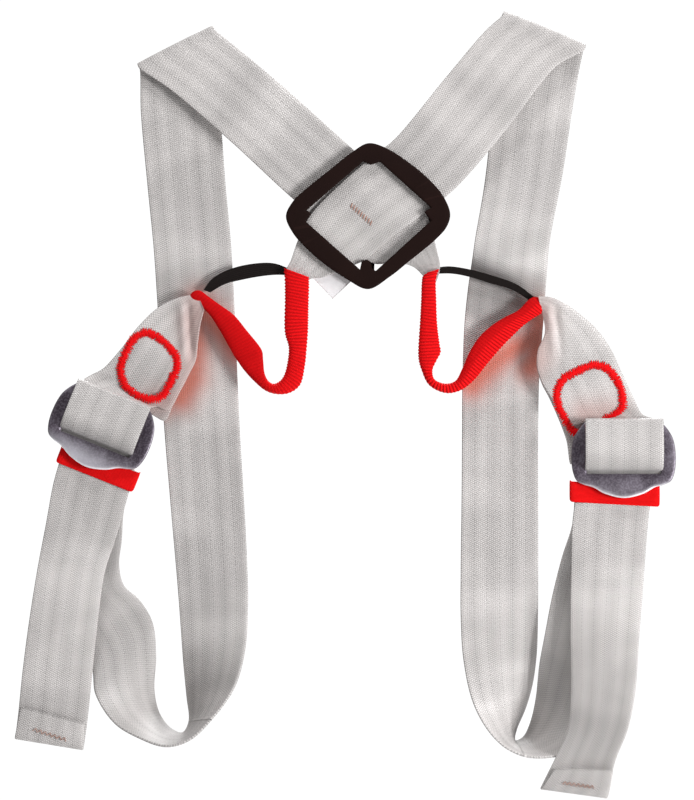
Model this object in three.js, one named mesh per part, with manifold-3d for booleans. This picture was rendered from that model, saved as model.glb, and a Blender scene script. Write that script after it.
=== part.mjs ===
// Deck safety harness vest: two long webbings that cross in a moulded plate, each folded over a
// shoulder, led under the arm and back to a metal adjuster, with two sleeved soft loops on the chest.
// Millimetres. +X is the wearer-facing right hand side, -Y is the front, +Z is up.
// The origin is the middle of the cross plate's ring.
import * as THREE from 'three';
import { mergeVertices } from 'three/addons/utils/BufferGeometryUtils.js';
import Module from 'manifold-3d';

const wasm = await Module();
wasm.setup();

// ---- driving dimensions -------------------------------------------------------------------------
const WEB_WIDTH = 45;
const WEB_THICK = 1.5;
const HALF_WEB = WEB_WIDTH / 2;
const GAP = 0.3;

const RING_FRONT_Y = -5.3;
const RING_BACK_Y = -1.3;
const BACK_PLATE_FRONT_Y = 2.7;
const BACK_PLATE_BACK_Y = 5.2;
const UPPER_LAYER_Y = -0.2;
const LOWER_LAYER_Y = 1.6;

const CREASE_FRONT_Y = -0.6;
const CREASE_BACK_Y = 6;
const REAR_Y = 9;

const FRAME_THICK = 2.6;
const FRAME_SLANT = THREE.MathUtils.degToRad(10);
const TOP_BAR_HALF = 1.7;
const WINDOW_BOTTOM = -31.5;
const WINDOW_HALF = 22.9;

const BAR_THICK = 2.6;
const BAR_TALL = 9;
const BAR_V = -4;
const BAR_W = 7.6;
const WRAP_RADIUS = 2.4;
const WRAP_TOP_V = -0.8;
const SEWN_LOOP_RADIUS = 3.4;
const STRAP_END_V = -61.5;
const FRONT_LAYER_W = 3.1;
const REAR_LAYER_W = 1.3;
const STRAP_DRIFT = 6;
const STRAP_DRIFT_END = 8;

const KEEPER_TOP = -37;
const KEEPER_TALL = 12;
const KEEPER_WALL = 0.8;
const KEEPER_INNER_HALF = 24.3;

const SLEEVE_WIDTH = 15;
const SLEEVE_THICK = 5.5;
const SLEEVE_WALL = 1.2;
const CORE_WIDTH = 9;
const CORE_THICK = 1.6;
const LOOP_Y = -1;

const ELASTIC_WIDTH = 6.5;
const ELASTIC_THICK = 1.2;
const ELASTIC_Y = 3;

const STITCH_THICK = 0.5;
const STITCH_HALF_WIDTH = 2;

// ---- materials ----------------------------------------------------------------------------------
const webbingFinish = { color: 0xc6c1be, roughness: 0.75, metalness: 0 };
const plateFinish = { color: 0x17100f, roughness: 0.55, metalness: 0 };
const steelFinish = { color: 0x77727f, roughness: 0.4, metalness: 0.9 };
const redFinish = { color: 0xe01216, roughness: 0.6, metalness: 0 };
const blackFinish = { color: 0x0c0b0c, roughness: 0.85, metalness: 0 };
const threadFinish = { color: 0x8d6f66, roughness: 0.9, metalness: 0 };
const labelFinish = { color: 0xefedef, roughness: 0.6, metalness: 0 };

const harness = new THREE.Group();

function add(name, geometry, finish, parent = harness) {
  const mesh = new THREE.Mesh(geometry, new THREE.MeshStandardMaterial(finish));
  mesh.name = name;
  parent.add(mesh);
  return mesh;
}

// ---- shapes shared by the soft parts --------------------------------------------------------------
const curveThrough = (points) => new THREE.CatmullRomCurve3(
  points.map(([x, y, z]) => new THREE.Vector3(x, y, z)), false, 'centripetal');

// A length of webbing between two selvedge curves. Every station is one point on each selvedge, and
// the web lies straight across between them, with its thickness along the local normal.
function webbing(stations, stepsPerStation = 5, thickness = WEB_THICK) {
  const first = curveThrough(stations.map((station) => station[0]));
  const second = curveThrough(stations.map((station) => station[1]));
  const middle = (t) => first.getPoint(t).add(second.getPoint(t)).multiplyScalar(0.5);
  const steps = (stations.length - 1) * stepsPerStation;
  const geometry = new THREE.BoxGeometry(1, 1, 1, 1, 1, steps);
  const position = geometry.attributes.position;
  const nudge = 0.002;
  for (let i = 0; i < position.count; i += 1) {
    const t = position.getZ(i) + 0.5;
    const from = first.getPoint(t);
    const across = second.getPoint(t).sub(from);
    const travel = middle(Math.min(t + nudge, 1)).sub(middle(Math.max(t - nudge, 0)));
    const normal = travel.cross(across).normalize();
    const point = from.addScaledVector(across, position.getX(i) + 0.5);
    point.addScaledVector(normal, position.getY(i) * thickness);
    position.setXYZ(i, point.x, point.y, point.z);
  }
  return geometry;
}

// The half turn that a web makes over a fold line from p to q, from the front layer to the rear one.
function crease([px, pz], [qx, qz], frontY, backY) {
  const radius = (backY - frontY) / 2;
  const along = new THREE.Vector2(qx - px, qz - pz).normalize();
  const outward = new THREE.Vector2(-along.y, along.x);
  return [0, 45, 90, 135, 180].map((degrees) => {
    const angle = THREE.MathUtils.degToRad(degrees);
    const out = radius * (Math.sin(angle) - 1);
    const y = (frontY + backY) / 2 - radius * Math.cos(angle);
    return [
      [px + outward.x * out, y, pz + outward.y * out],
      [qx + outward.x * out, y, qz + outward.y * out],
    ];
  });
}

// A profile carried along a path that lies in a plane of constant Y. The profile's x is the depth.
function sweep(shape, points, steps) {
  const path = curveThrough(points);
  return new THREE.ExtrudeGeometry(shape, { steps, extrudePath: path, bevelEnabled: false });
}

function rectangle(width, height) {
  const shape = new THREE.Shape();
  shape.moveTo(-width / 2, -height / 2);
  shape.lineTo(width / 2, -height / 2);
  shape.lineTo(width / 2, height / 2);
  shape.lineTo(-width / 2, height / 2);
  shape.closePath();
  return shape;
}

function closedCurvePoints(points, divisions) {
  const curve = new THREE.CatmullRomCurve3(
    points.map(([x, z]) => new THREE.Vector3(x, z, 0)), true, 'centripetal');
  return curve.getPoints(divisions).slice(0, -1).map((p) => new THREE.Vector2(p.x, p.y));
}

// A flat shape drawn in X and Z, given a thickness that starts at frontY and runs to the rear.
function slab(shape, frontY, thickness, curveSegments = 12) {
  const geometry = new THREE.ExtrudeGeometry(shape, { depth: thickness, bevelEnabled: false, curveSegments });
  geometry.rotateX(Math.PI / 2);
  geometry.translate(0, frontY + thickness, 0);
  return geometry;
}

function toSolid(geometry) {
  const bare = geometry.clone();
  bare.deleteAttribute('normal');
  bare.deleteAttribute('uv');
  const merged = mergeVertices(bare, 1e-4);
  return new wasm.Manifold(new wasm.Mesh({
    numProp: 3,
    vertProperties: new Float32Array(merged.attributes.position.array),
    triVerts: new Uint32Array(merged.index.array),
  }));
}

function fromSolid(solid) {
  const mesh = solid.getMesh();
  const geometry = new THREE.BufferGeometry();
  geometry.setAttribute('position', new THREE.BufferAttribute(new Float32Array(mesh.vertProperties), 3));
  geometry.setIndex(new THREE.BufferAttribute(new Uint32Array(mesh.triVerts), 1));
  return geometry;
}

// ---- cross plate ----------------------------------------------------------------------------------
// One moulding: a rounded diamond ring in front of both webbings, four corner posts that pass beside
// them, and a back plate behind them.
const ringOutline = [
  [0, 43], [10, 40.5], [25, 31], [36.8, 21], [45, 11], [48.8, 1],
  [46.8, -6.5], [40.3, -14], [25, -26.6], [13, -36.2], [0, -43.6],
  [-13, -37.5], [-27.5, -27.5], [-36.5, -19.5], [-44.5, -10.5], [-48.8, -0.5],
  [-45, 8], [-36.8, 16], [-23, 27], [-9.5, 37.7],
];
const ringOpening = [
  [-36.9, 3], [-33.7, 1.1], [-36.9, -3.6], [-4.4, -32], [-1.2, -26.6], [2.2, -31.6], [4.6, -32.8],
  [37.4, -3], [33.4, 2.2], [37.4, 4.8], [7, 32.1], [1.6, 30.3], [-3, 32.2],
];
const posts = [
  { x: -41.5, z: 0, width: 5, tall: 5 },
  { x: 41.5, z: 0, width: 5, tall: 5 },
  { x: 0, z: 39.5, width: 5, tall: 4.5 },
  { x: 0, z: -37.5, width: 6, tall: 6 },
];
const backPlateOutline = [
  [-44, -3.5], [-27, -4], [-4, -25], [-3.5, -41], [3.5, -41], [4, -25], [27, -4], [44, -3.5],
  [44, 3.5], [27, 4], [4, 25], [3.5, 41.5], [-3.5, 41.5], [-4, 25], [-27, 4], [-44, 3.5],
];

function crossPlate() {
  const ring = new THREE.Shape(closedCurvePoints(ringOutline, 80));
  ring.holes.push(new THREE.Path(ringOpening.map(([x, z]) => new THREE.Vector2(x, z))));
  const back = new THREE.Shape(backPlateOutline.map(([x, z]) => new THREE.Vector2(x, z)));
  const bite = 0.5;
  const postLength = BACK_PLATE_FRONT_Y - RING_BACK_Y + 2 * bite;
  let solid = toSolid(slab(ring, RING_FRONT_Y, RING_BACK_Y - RING_FRONT_Y));
  solid = solid.add(toSolid(slab(back, BACK_PLATE_FRONT_Y, BACK_PLATE_BACK_Y - BACK_PLATE_FRONT_Y)));
  for (const post of posts) {
    const box = new THREE.BoxGeometry(post.width, postLength, post.tall);
    box.translate(post.x, RING_BACK_Y - bite + postLength / 2, post.z);
    solid = solid.add(toSolid(box));
  }
  return fromSolid(solid);
}
add('cross_plate', crossPlate(), plateFinish);

const tackShape = rectangle(3.2, 15);
const tack = slab(tackShape, UPPER_LAYER_Y - WEB_THICK / 2 - GAP - STITCH_THICK, STITCH_THICK);
tack.rotateY(THREE.MathUtils.degToRad(-48));
tack.translate(-4, 0, 1);
add('cross_tack', tack, threadFinish);

// ---- shoulder straps ------------------------------------------------------------------------------
// The left strap is the lower layer in the plate and runs down to the right loop. Both start where the
// web is gathered into its loop, pass the plate, fold over the shoulder and run down behind.
const flat = (y, [px, pz], [qx, qz]) => [[px, y, pz], [qx, y, qz]];

const leftShoulder = [
  flat(1.4, [29, -31.6], [43, -29.6]),
  flat(1.4, [25.5, -29.6], [41.2, -21]),
  flat(LOWER_LAYER_Y, [17, -27.5], [38.6, -10.5]),
  flat(LOWER_LAYER_Y, [3.2, -28.2], [33.6, 3.6]),
  flat(LOWER_LAYER_Y, [-14.8, -14.6], [14.8, 19.3]),
  flat(LOWER_LAYER_Y, [-44.5, 10.1], [-12.6, 43.2]),
  flat(0.4, [-83.5, 46], [-50.6, 77.4]),
  flat(-0.4, [-118, 75.5], [-83, 104.4]),
  ...crease([-137.8, 91.1], [-92.4, 113.7], CREASE_FRONT_Y, CREASE_BACK_Y),
  flat(7, [-135.6, 62], [-88.9, 76]),
  flat(8.2, [-131.8, 18], [-85.3, 22]),
  flat(REAR_Y, [-128.2, -19], [-81.8, -17]),
  flat(REAR_Y, [-125.5, -60], [-79.5, -60]),
];
const rightShoulder = [
  flat(-0.2, [-48.6, -32.6], [-36, -33.2]),
  flat(-0.2, [-46, -27], [-29.5, -34]),
  flat(UPPER_LAYER_Y, [-41.8, -14.5], [-16, -32]),
  flat(UPPER_LAYER_Y, [-35, 0], [-1.4, -26]),
  flat(UPPER_LAYER_Y, [-13, 22.5], [16, -11.8]),
  flat(UPPER_LAYER_Y, [4.6, 37], [35, 2.6]),
  flat(-0.3, [16, 46], [52, 16.5]),
  flat(-0.8, [47.5, 84], [82, 51]),
  flat(-1, [70, 110.5], [112, 89]),
  ...crease([81, 122.6], [130, 101.9], -1.1, CREASE_BACK_Y),
  flat(7, [75.6, 78], [123, 69]),
  flat(8.2, [70, 22], [116.5, 26]),
  flat(REAR_Y, [63, -20], [108.3, -18]),
  flat(REAR_Y, [58, -60], [105.2, -60]),
];
add('left_shoulder_strap', webbing(leftShoulder, 4), webbingFinish);
add('right_shoulder_strap', webbing(rightShoulder, 4), webbingFinish);

// ---- underarm straps ------------------------------------------------------------------------------
// Each runs on down behind, stands on edge through its lower turn and comes up to the adjuster.
const leftUnderarm = [
  [[-125.5, 9, -60.3], [-79.5, 9, -60.3]],
  [[-122, 9, -123.8], [-76.8, 9, -123.8]],
  [[-118.5, 9, -166.7], [-74.2, 8.5, -166.7]],
  [[-115.5, 9.5, -202.4], [-72.2, 7, -202.4]],
  [[-113.1, 10.5, -231], [-71.3, 3.5, -231]],
  [[-110.6, 12.5, -262], [-73.3, -3, -258]],
  [[-108.4, 15.5, -288], [-80, -13, -280]],
  [[-107.6, 18.5, -303], [-93, -20, -297]],
  [[-111.5, 20, -309.6], [-106, -23.5, -308.5]],
  [[-118.5, 19.5, -306.8], [-118.5, -24, -312]],
  [[-124.8, 18, -298], [-134, -21, -308]],
  [[-127.6, 15, -284], [-150, -15, -300]],
  [[-126.4, 11, -262], [-162, -7, -284]],
  [[-128.6, 7, -242.3], [-164.5, -2, -268]],
  [[-136.5, 4.5, -228.5], [-174, 1, -250]],
  [[-145.5, 4, -220], [-185, 2, -233]],
  [[-148.3, 3, -208], [-189.5, 2, -215]],
  [[-146.6, 1, -193], [-189.3, 0.5, -186]],
  [[-145.3, -REAR_LAYER_W, -176.4], [-187.2, -REAR_LAYER_W, -159.8]],
];
const rightUnderarm = [
  [[58, 9, -60.3], [105.2, 9, -60.3]],
  [[56.5, 9, -95], [102.6, 9, -95]],
  [[56.3, 9, -130], [101.8, 9, -130]],
  [[56, 9, -169], [101.8, 9, -169]],
  [[55.5, 9, -210], [101.8, 9, -210]],
  [[55.4, 8, -240], [101.8, 9.5, -240]],
  [[56.8, 5, -264], [101.3, 11.5, -262]],
  [[62, -1, -288], [99.3, 16, -280]],
  [[70.5, -8, -304], [95.3, 21, -296]],
  [[80.5, -13.5, -314], [90.5, 26, -308]],
  [[92, -16.5, -319], [89, 27, -314.5]],
  [[104, -16, -320], [93.5, 25, -312.5]],
  [[117, -12.5, -318], [98, 20, -303]],
  [[130, -8, -309], [101, 13, -288]],
  [[140.5, -4, -292], [102.6, 7, -267]],
  [[149.5, -2, -268], [105.5, 3.5, -249]],
  [[155.5, 0, -241], [109.8, 2, -226]],
  [[161.5, 0, -213], [115.5, 1, -203]],
  [[166.3, -REAR_LAYER_W, -184.6], [121.3, -REAR_LAYER_W, -184.6]],
];
add('left_underarm_strap', webbing(leftUnderarm, 4), webbingFinish);
add('right_underarm_strap', webbing(rightUnderarm, 4), webbingFinish);

// ---- one side: adjuster, side strap, tail and loop ------------------------------------------------
// Each side has its own small frame (u across, v up the strap, w to the front) at the adjuster's top
// bar. inward is +1 where the middle of the harness lies towards +u.
const sides = {
  left: { bar: [-150.8, 0, -107.2], turn: 21.7, inward: 1 },
  right: { bar: [151.8, 0, -122.6], turn: 0, inward: -1 },
};

function placer({ bar: [x, y, z], turn }) {
  const angle = THREE.MathUtils.degToRad(turn);
  const cos = Math.cos(angle);
  const sin = Math.sin(angle);
  return (u, v, w) => [x + u * cos + v * sin, y - w, z - u * sin + v * cos];
}

function adjusterFrameGeometry() {
  const half = [
    [20, 1.7], [24.5, -2], [29.3, -9.5], [31, -19.5], [30.2, -30], [27.8, -35.5], [24, -37.6],
    [18.5, -39.2], [11.5, -43], [0, -45.6],
  ];
  const outline = new THREE.CatmullRomCurve3([
    ...half.map(([u, v]) => new THREE.Vector3(u, v, 0)),
    ...half.slice(0, -1).reverse().map(([u, v]) => new THREE.Vector3(-u, v, 0)),
  ], false, 'centripetal').getPoints(72).map((p) => new THREE.Vector2(p.x, p.y));
  const shape = new THREE.Shape(outline);
  const corner = 0.9;
  const left = -WINDOW_HALF;
  const right = WINDOW_HALF;
  const top = -TOP_BAR_HALF;
  const bottom = WINDOW_BOTTOM;
  const hole = new THREE.Path();
  hole.moveTo(left + corner, bottom);
  hole.lineTo(right - corner, bottom);
  hole.absarc(right - corner, bottom + corner, corner, -Math.PI / 2, 0);
  hole.lineTo(right, top - corner);
  hole.absarc(right - corner, top - corner, corner, 0, Math.PI / 2);
  hole.lineTo(left + corner, top);
  hole.absarc(left + corner, top - corner, corner, Math.PI / 2, Math.PI);
  hole.lineTo(left, bottom + corner);
  hole.absarc(left + corner, bottom + corner, corner, Math.PI, Math.PI * 1.5);
  shape.holes.push(hole);
  const geometry = new THREE.ExtrudeGeometry(shape, {
    depth: FRAME_THICK, bevelEnabled: false, curveSegments: 4,
  });
  geometry.translate(0, 0, -FRAME_THICK / 2);
  geometry.rotateX(-FRAME_SLANT);
  return geometry;
}

// Turns a shape drawn as x = u, y = v, z = w into the harness frame.
function stand(geometry, { bar: [x, y, z], turn }) {
  geometry.rotateX(Math.PI / 2);
  geometry.rotateY(THREE.MathUtils.degToRad(turn));
  geometry.translate(x, y, z);
  return geometry;
}

function slidingBarGeometry() {
  const round = BAR_THICK / 2 - 0.1;
  const section = new THREE.Shape();
  const inner = BAR_TALL / 2 - BAR_THICK / 2;
  section.absarc(0, inner, round, 0, Math.PI);
  section.absarc(0, -inner, round, Math.PI, Math.PI * 2);
  const length = 2 * WINDOW_HALF - 2 * GAP;
  const geometry = new THREE.ExtrudeGeometry(section, {
    depth: length, bevelEnabled: false, curveSegments: 6,
  });
  geometry.translate(0, 0, -length / 2);
  geometry.rotateY(Math.PI / 2);
  geometry.translate(0, BAR_V, BAR_W);
  return geometry;
}

function keeperGeometry(inward) {
  const back = REAR_LAYER_W - WEB_THICK / 2 - GAP;
  const front = FRONT_LAYER_W + WEB_THICK / 2 + GAP;
  const depth = front - back;
  const outer = rectangle(2 * (KEEPER_INNER_HALF + KEEPER_WALL), depth + 2 * KEEPER_WALL);
  const inner = rectangle(2 * KEEPER_INNER_HALF, depth);
  outer.holes.push(new THREE.Path(inner.getPoints().reverse()));
  const geometry = new THREE.ExtrudeGeometry(outer, { depth: KEEPER_TALL, bevelEnabled: false });
  geometry.rotateX(-Math.PI / 2);
  const drift = (STRAP_DRIFT + STRAP_DRIFT_END) / 2 - 0.7;
  geometry.translate(inward * drift, KEEPER_TOP - KEEPER_TALL, (front + back) / 2);
  return geometry;
}

// Stations of a web that lies across the adjuster, each given as its v, its w and its sideways drift.
function acrossAdjuster(rows, side) {
  const at = placer(side);
  return rows.map(([v, w, drift]) => [
    at(side.inward * drift - HALF_WEB, v, w),
    at(side.inward * drift + HALF_WEB, v, w),
  ]);
}

const wrapRows = [
  [STRAP_END_V, REAR_LAYER_W, STRAP_DRIFT_END],
  [-48, REAR_LAYER_W, 6.6],
  [-38.5, REAR_LAYER_W, STRAP_DRIFT],
  [-35, 1.25, 3.6],
  [-31.5, 0.9, 0],
  [-27, 1.7, 0],
  [-18, 4.2, 0],
  [-8, 5.2, 0],
  ...[180, 135, 90, 45, 0].map((degrees) => {
    const angle = THREE.MathUtils.degToRad(degrees);
    return [WRAP_TOP_V + WRAP_RADIUS * Math.sin(angle), BAR_W + WRAP_RADIUS * Math.cos(angle), 0];
  }),
  [-12, 10.2, 0],
  [-22, 10.1, 0],
  [-25.4, 9.2, 0],
  [-27.8, 7, 0],
  [-28.6, 4.8, 0],
  [-30.8, 2.75, 0],
  [-35, FRONT_LAYER_W, 3.6],
  [-38.5, FRONT_LAYER_W, STRAP_DRIFT],
  [-48, FRONT_LAYER_W, 6.6],
  [STRAP_END_V, FRONT_LAYER_W, STRAP_DRIFT_END],
];

// The side strap's sewn end: its main layer comes down behind, turns round the top bar and comes up in
// front. Each row of the straight part is [y, outer edge, inner edge].
const sideStraps = {
  left: {
    main: [
      [1, [-106, -47.5], [-103.4, -66]],
      [1, [-114, -48.8], [-101.8, -78]],
      [0.9, [-125, -54.5], [-102.8, -86.5]],
      [0.9, [-136, -65], [-106.5, -94]],
      [0.9, [-145.5, -77.8], [-111.5, -103]],
      [1.1, [-155, -88.8], [-118.5, -111]],
      [2.6, [-165, -94.8], [-126.2, -112.4]],
    ],
    returned: [
      [-1.1, [-164.6, -94.4], [-124.2, -110.2]],
      [-0.9, [-158, -91], [-119.5, -108.6]],
      [-0.9, [-147, -79], [-112.5, -102]],
      [-0.9, [-138, -67.5], [-105, -89.5]],
      [-0.9, [-125, -54.5], [-102.4, -83]],
      [-1, [-114, -48.8], [-101.8, -76]],
      [-1, [-106, -47.5], [-103.4, -66]],
    ],
    box: [
      [-131.8, -70], [-139, -73], [-144, -82], [-147, -89.5], [-145, -96.5], [-139, -102],
      [-128, -105], [-121, -102.5], [-117.5, -96.5], [-114, -90], [-115.5, -82.5], [-122, -75.5],
    ],
  },
  right: {
    main: [
      [1, [108.6, -48.5], [109.6, -62.5]],
      [1, [116, -51.5], [105, -71]],
      [0.9, [126, -58.5], [101, -80]],
      [0.9, [136.5, -67.8], [100.6, -90]],
      [0.9, [144, -78], [103.5, -100]],
      [1.1, [151, -92.5], [109, -110]],
      [2.6, [162, -111.5], [119.5, -117.5]],
    ],
    returned: [
      [-1.1, [168, -115.6], [124.2, -116.8]],
      [-0.9, [159.5, -107.5], [116.5, -114]],
      [-0.9, [150.5, -92.5], [109.5, -108.5]],
      [-0.9, [143.5, -79.5], [104.6, -98]],
      [-0.9, [136.5, -67.8], [100.6, -88]],
      [-0.9, [126, -58.5], [101, -79]],
      [-1, [116, -51.5], [105, -71]],
      [-1, [108.6, -48.5], [109.6, -62.5]],
    ],
    box: [
      [134.5, -88.9], [124.4, -93], [116.6, -97.2], [113.3, -103.5], [115.5, -110.5], [122, -112.6],
      [132, -113.6], [142, -112.9], [149, -110.5], [150.2, -104], [146, -95], [141, -90],
    ],
  },
};

function sideStrap(name, side) {
  const at = placer(side);
  const { main, returned } = sideStraps[name];
  const edges = ([y, [ox, oz], [ix, iz]]) => [[ox, y, oz], [ix, y, iz]];
  const outer = -side.inward * (HALF_WEB - 0.5);
  const turn = [180, 225, 270, 315, 360].map((degrees) => {
    const angle = THREE.MathUtils.degToRad(degrees);
    const v = SEWN_LOOP_RADIUS * Math.sin(angle);
    const w = SEWN_LOOP_RADIUS * Math.cos(angle);
    return [at(outer, v, w), at(-outer, v, w)];
  });
  return webbing([...main.map(edges), ...turn, ...returned.map(edges)], 3);
}

function stitchRing(points, frontY) {
  const middle = closedCurvePoints(points, 40);
  const count = middle.length;
  const offset = (distance) => middle.map((point, i) => {
    const before = middle[(i + count - 1) % count];
    const after = middle[(i + 1) % count];
    const along = after.clone().sub(before).normalize();
    return new THREE.Vector2(point.x + along.y * distance, point.y - along.x * distance);
  });
  const shape = new THREE.Shape(offset(STITCH_HALF_WIDTH));
  shape.holes.push(new THREE.Path(offset(-STITCH_HALF_WIDTH)));
  return slab(shape, frontY, STITCH_THICK);
}

// Each tail hangs in front of its underarm strap and ends in a hem turned to the front.
const tails = {
  left: [
    [[-187.2, -FRONT_LAYER_W, -159.7], [-145.4, -FRONT_LAYER_W, -176.4]],
    [[-191.2, -5.5, -183], [-150.3, -4.2, -193.5]],
    [[-195.8, -9, -208.9], [-156, -6.5, -211]],
    [[-200.6, -13, -241.1], [-160, -9, -240]],
    [[-204.2, -15, -270.2], [-163.1, -11, -270.2]],
    [[-206.6, -15.2, -294], [-165.6, -12, -296]],
    [[-208.3, -14.8, -307], [-168, -12.8, -314]],
    [[-208.6, -15.9, -308.9], [-168.3, -13.9, -315.8]],
    [[-208.2, -17.2, -307], [-168, -15.2, -314]],
    [[-204.9, -17.9, -290.2], [-167.4, -14.8, -300.4]],
  ],
  right: [
    [[121.3, -FRONT_LAYER_W, -186], [166.3, -FRONT_LAYER_W, -186]],
    [[120.4, -5.6, -215], [163.3, -9.5, -215]],
    [[119.8, -8.5, -248], [160, -17, -248]],
    [[120, -10.5, -279], [157, -24, -281]],
    [[118.2, -12.5, -302], [152.2, -27, -303]],
    [[111.6, -15.5, -318], [145.2, -26, -321]],
    [[102.4, -18, -336.5], [140.9, -23, -341.2]],
    [[101.5, -19.3, -338.2], [140.6, -24.2, -343]],
    [[103, -20.6, -336.6], [141.2, -25.6, -341.2]],
    [[110.2, -20.6, -326.2], [143.6, -29.4, -326.6]],
  ],
};

// A row of hem stitching, laid just in front of the turned hem and set in from its edges.
function hemStitch(stations) {
  const [fold, end] = stations.slice(-2);
  const lift = WEB_THICK / 2 + 3 * GAP + STITCH_THICK;
  const mix = (a, b, t) => a.map((value, i) => value + (b[i] - value) * t);
  const row = (t) => {
    const first = mix(fold[0], end[0], t);
    const second = mix(fold[1], end[1], t);
    const ends = [mix(first, second, 0.25), mix(first, second, 0.75)];
    return ends.map(([x, y, z]) => [x, y - lift, z]);
  };
  return webbing([row(0.2), row(0.4)], 1, STITCH_THICK);
}

const loopPaths = {
  left: [
    [-96.4, -54.2], [-86.9, -62.6], [-78.6, -72.2], [-71.4, -83.3], [-65.5, -93.5], [-59.5, -100],
    [-53.6, -102.6], [-47.6, -100], [-44, -92.9], [-42.6, -82.7], [-42.3, -67.9], [-42.3, -53],
    [-42.3, -39.2],
  ],
  right: [
    [36.3, -38.6], [36, -50], [36, -63.1], [36.3, -76.8], [35.6, -86.9], [37.5, -95.8],
    [41.7, -100.9], [47.6, -102.6], [53.6, -100.6], [58.9, -93.5], [64.9, -84.5], [72, -75.9],
    [79.2, -68.5], [86.3, -62.9], [94.2, -58.8],
  ],
};
const elasticPaths = {
  left: [[-95, -44], [-88.7, -38.7], [-77, -34], [-66.7, -32.2], [-57, -31.6], [-49.4, -30.6]],
  right: [[42.6, -29.6], [54, -30.6], [66.7, -34.4], [78.6, -38.8], [88.7, -42.4], [97, -46.4]],
};

const alongY = (points, y) => points.map(([x, z]) => [x, y, z]);

function sleeveShape() {
  const shape = new THREE.Shape();
  shape.absellipse(0, 0, SLEEVE_THICK / 2, SLEEVE_WIDTH / 2, 0, Math.PI * 2);
  const bore = new THREE.Path();
  const deep = SLEEVE_THICK / 2 - SLEEVE_WALL;
  bore.absellipse(0, 0, deep, SLEEVE_WIDTH / 2 - SLEEVE_WALL, 0, Math.PI * 2, true);
  shape.holes.push(bore);
  return shape;
}

function sleeve(points) {
  const path = curveThrough(alongY(points, LOOP_Y));
  const steps = 30;
  return new THREE.ExtrudeGeometry(sleeveShape(), {
    steps, extrudePath: path, bevelEnabled: false, curveSegments: 8,
  });
}

for (const [name, side] of Object.entries(sides)) {
  add(`${name}_side_strap`, sideStrap(name, side), webbingFinish);
  const stitchY = -0.9 - WEB_THICK / 2 - 2 * GAP - STITCH_THICK;
  add(`${name}_box_stitch`, stitchRing(sideStraps[name].box, stitchY), redFinish);
  add(`${name}_adjuster_frame`, stand(adjusterFrameGeometry(), side), steelFinish);
  add(`${name}_adjuster_bar`, stand(slidingBarGeometry(), side), steelFinish);
  add(`${name}_adjuster_wrap`, webbing(acrossAdjuster(wrapRows, side), 2), webbingFinish);
  add(`${name}_keeper`, stand(keeperGeometry(side.inward), side), redFinish);
  add(`${name}_tail`, webbing(tails[name], 4), webbingFinish);
  add(`${name}_hem_stitch`, hemStitch(tails[name]), threadFinish);
  add(`${name}_loop_sleeve`, sleeve(loopPaths[name]), redFinish);
  const core = sweep(rectangle(CORE_THICK, CORE_WIDTH), alongY(loopPaths[name], LOOP_Y), 30);
  add(`${name}_loop_core`, core, webbingFinish);
  const band = rectangle(ELASTIC_THICK, ELASTIC_WIDTH);
  add(`${name}_loop_elastic`, sweep(band, alongY(elasticPaths[name], ELASTIC_Y), 16), blackFinish);
}

// ---- label ----------------------------------------------------------------------------------------
// A blank woven label sewn under the right webbing's gathered end.
const labelShape = new THREE.Shape([
  new THREE.Vector2(-21.1, -49.2),
  new THREE.Vector2(-9.1, -38.6),
  new THREE.Vector2(-22.4, -24.6),
  new THREE.Vector2(-34.2, -35.4),
]);
add('blank_label', slab(labelShape, 1.1, 0.5), labelFinish);

export default harness;
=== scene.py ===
import math
from functools import partial

import bpy
import numpy as np
from mathutils import Matrix, Vector


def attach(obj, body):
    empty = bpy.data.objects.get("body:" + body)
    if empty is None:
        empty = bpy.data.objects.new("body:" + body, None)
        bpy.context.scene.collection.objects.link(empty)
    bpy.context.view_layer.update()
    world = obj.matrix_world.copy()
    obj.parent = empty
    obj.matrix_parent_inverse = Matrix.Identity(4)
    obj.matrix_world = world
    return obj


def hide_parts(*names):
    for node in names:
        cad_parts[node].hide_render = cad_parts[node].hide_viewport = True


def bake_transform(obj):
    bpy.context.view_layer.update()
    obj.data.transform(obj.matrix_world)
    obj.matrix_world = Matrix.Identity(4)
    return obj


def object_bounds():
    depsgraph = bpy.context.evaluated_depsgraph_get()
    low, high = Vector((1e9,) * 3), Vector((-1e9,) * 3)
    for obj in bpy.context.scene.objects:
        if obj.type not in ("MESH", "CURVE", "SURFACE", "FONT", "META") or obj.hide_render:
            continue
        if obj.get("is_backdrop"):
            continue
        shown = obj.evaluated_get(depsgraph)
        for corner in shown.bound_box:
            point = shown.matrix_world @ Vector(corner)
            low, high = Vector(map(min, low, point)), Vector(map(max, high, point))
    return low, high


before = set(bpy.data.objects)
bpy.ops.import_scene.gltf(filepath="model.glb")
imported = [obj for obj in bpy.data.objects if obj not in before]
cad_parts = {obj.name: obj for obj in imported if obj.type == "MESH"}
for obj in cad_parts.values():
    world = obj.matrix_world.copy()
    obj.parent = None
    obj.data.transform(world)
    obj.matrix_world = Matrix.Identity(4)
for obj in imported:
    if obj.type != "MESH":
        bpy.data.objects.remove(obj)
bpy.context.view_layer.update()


# ==== Camera ========================================================================================
# A long lens squarely in front of the chest, level with the middle of the harness, so the straps
# keep their true widths.
MM = 0.001
VIEW_MIDDLE = Vector((-12.5, 0, -109.5)) * MM
VIEW_HEIGHT = 476.2 * MM
VIEW_DISTANCE = 1.9
SENSOR = 36.0

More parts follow.
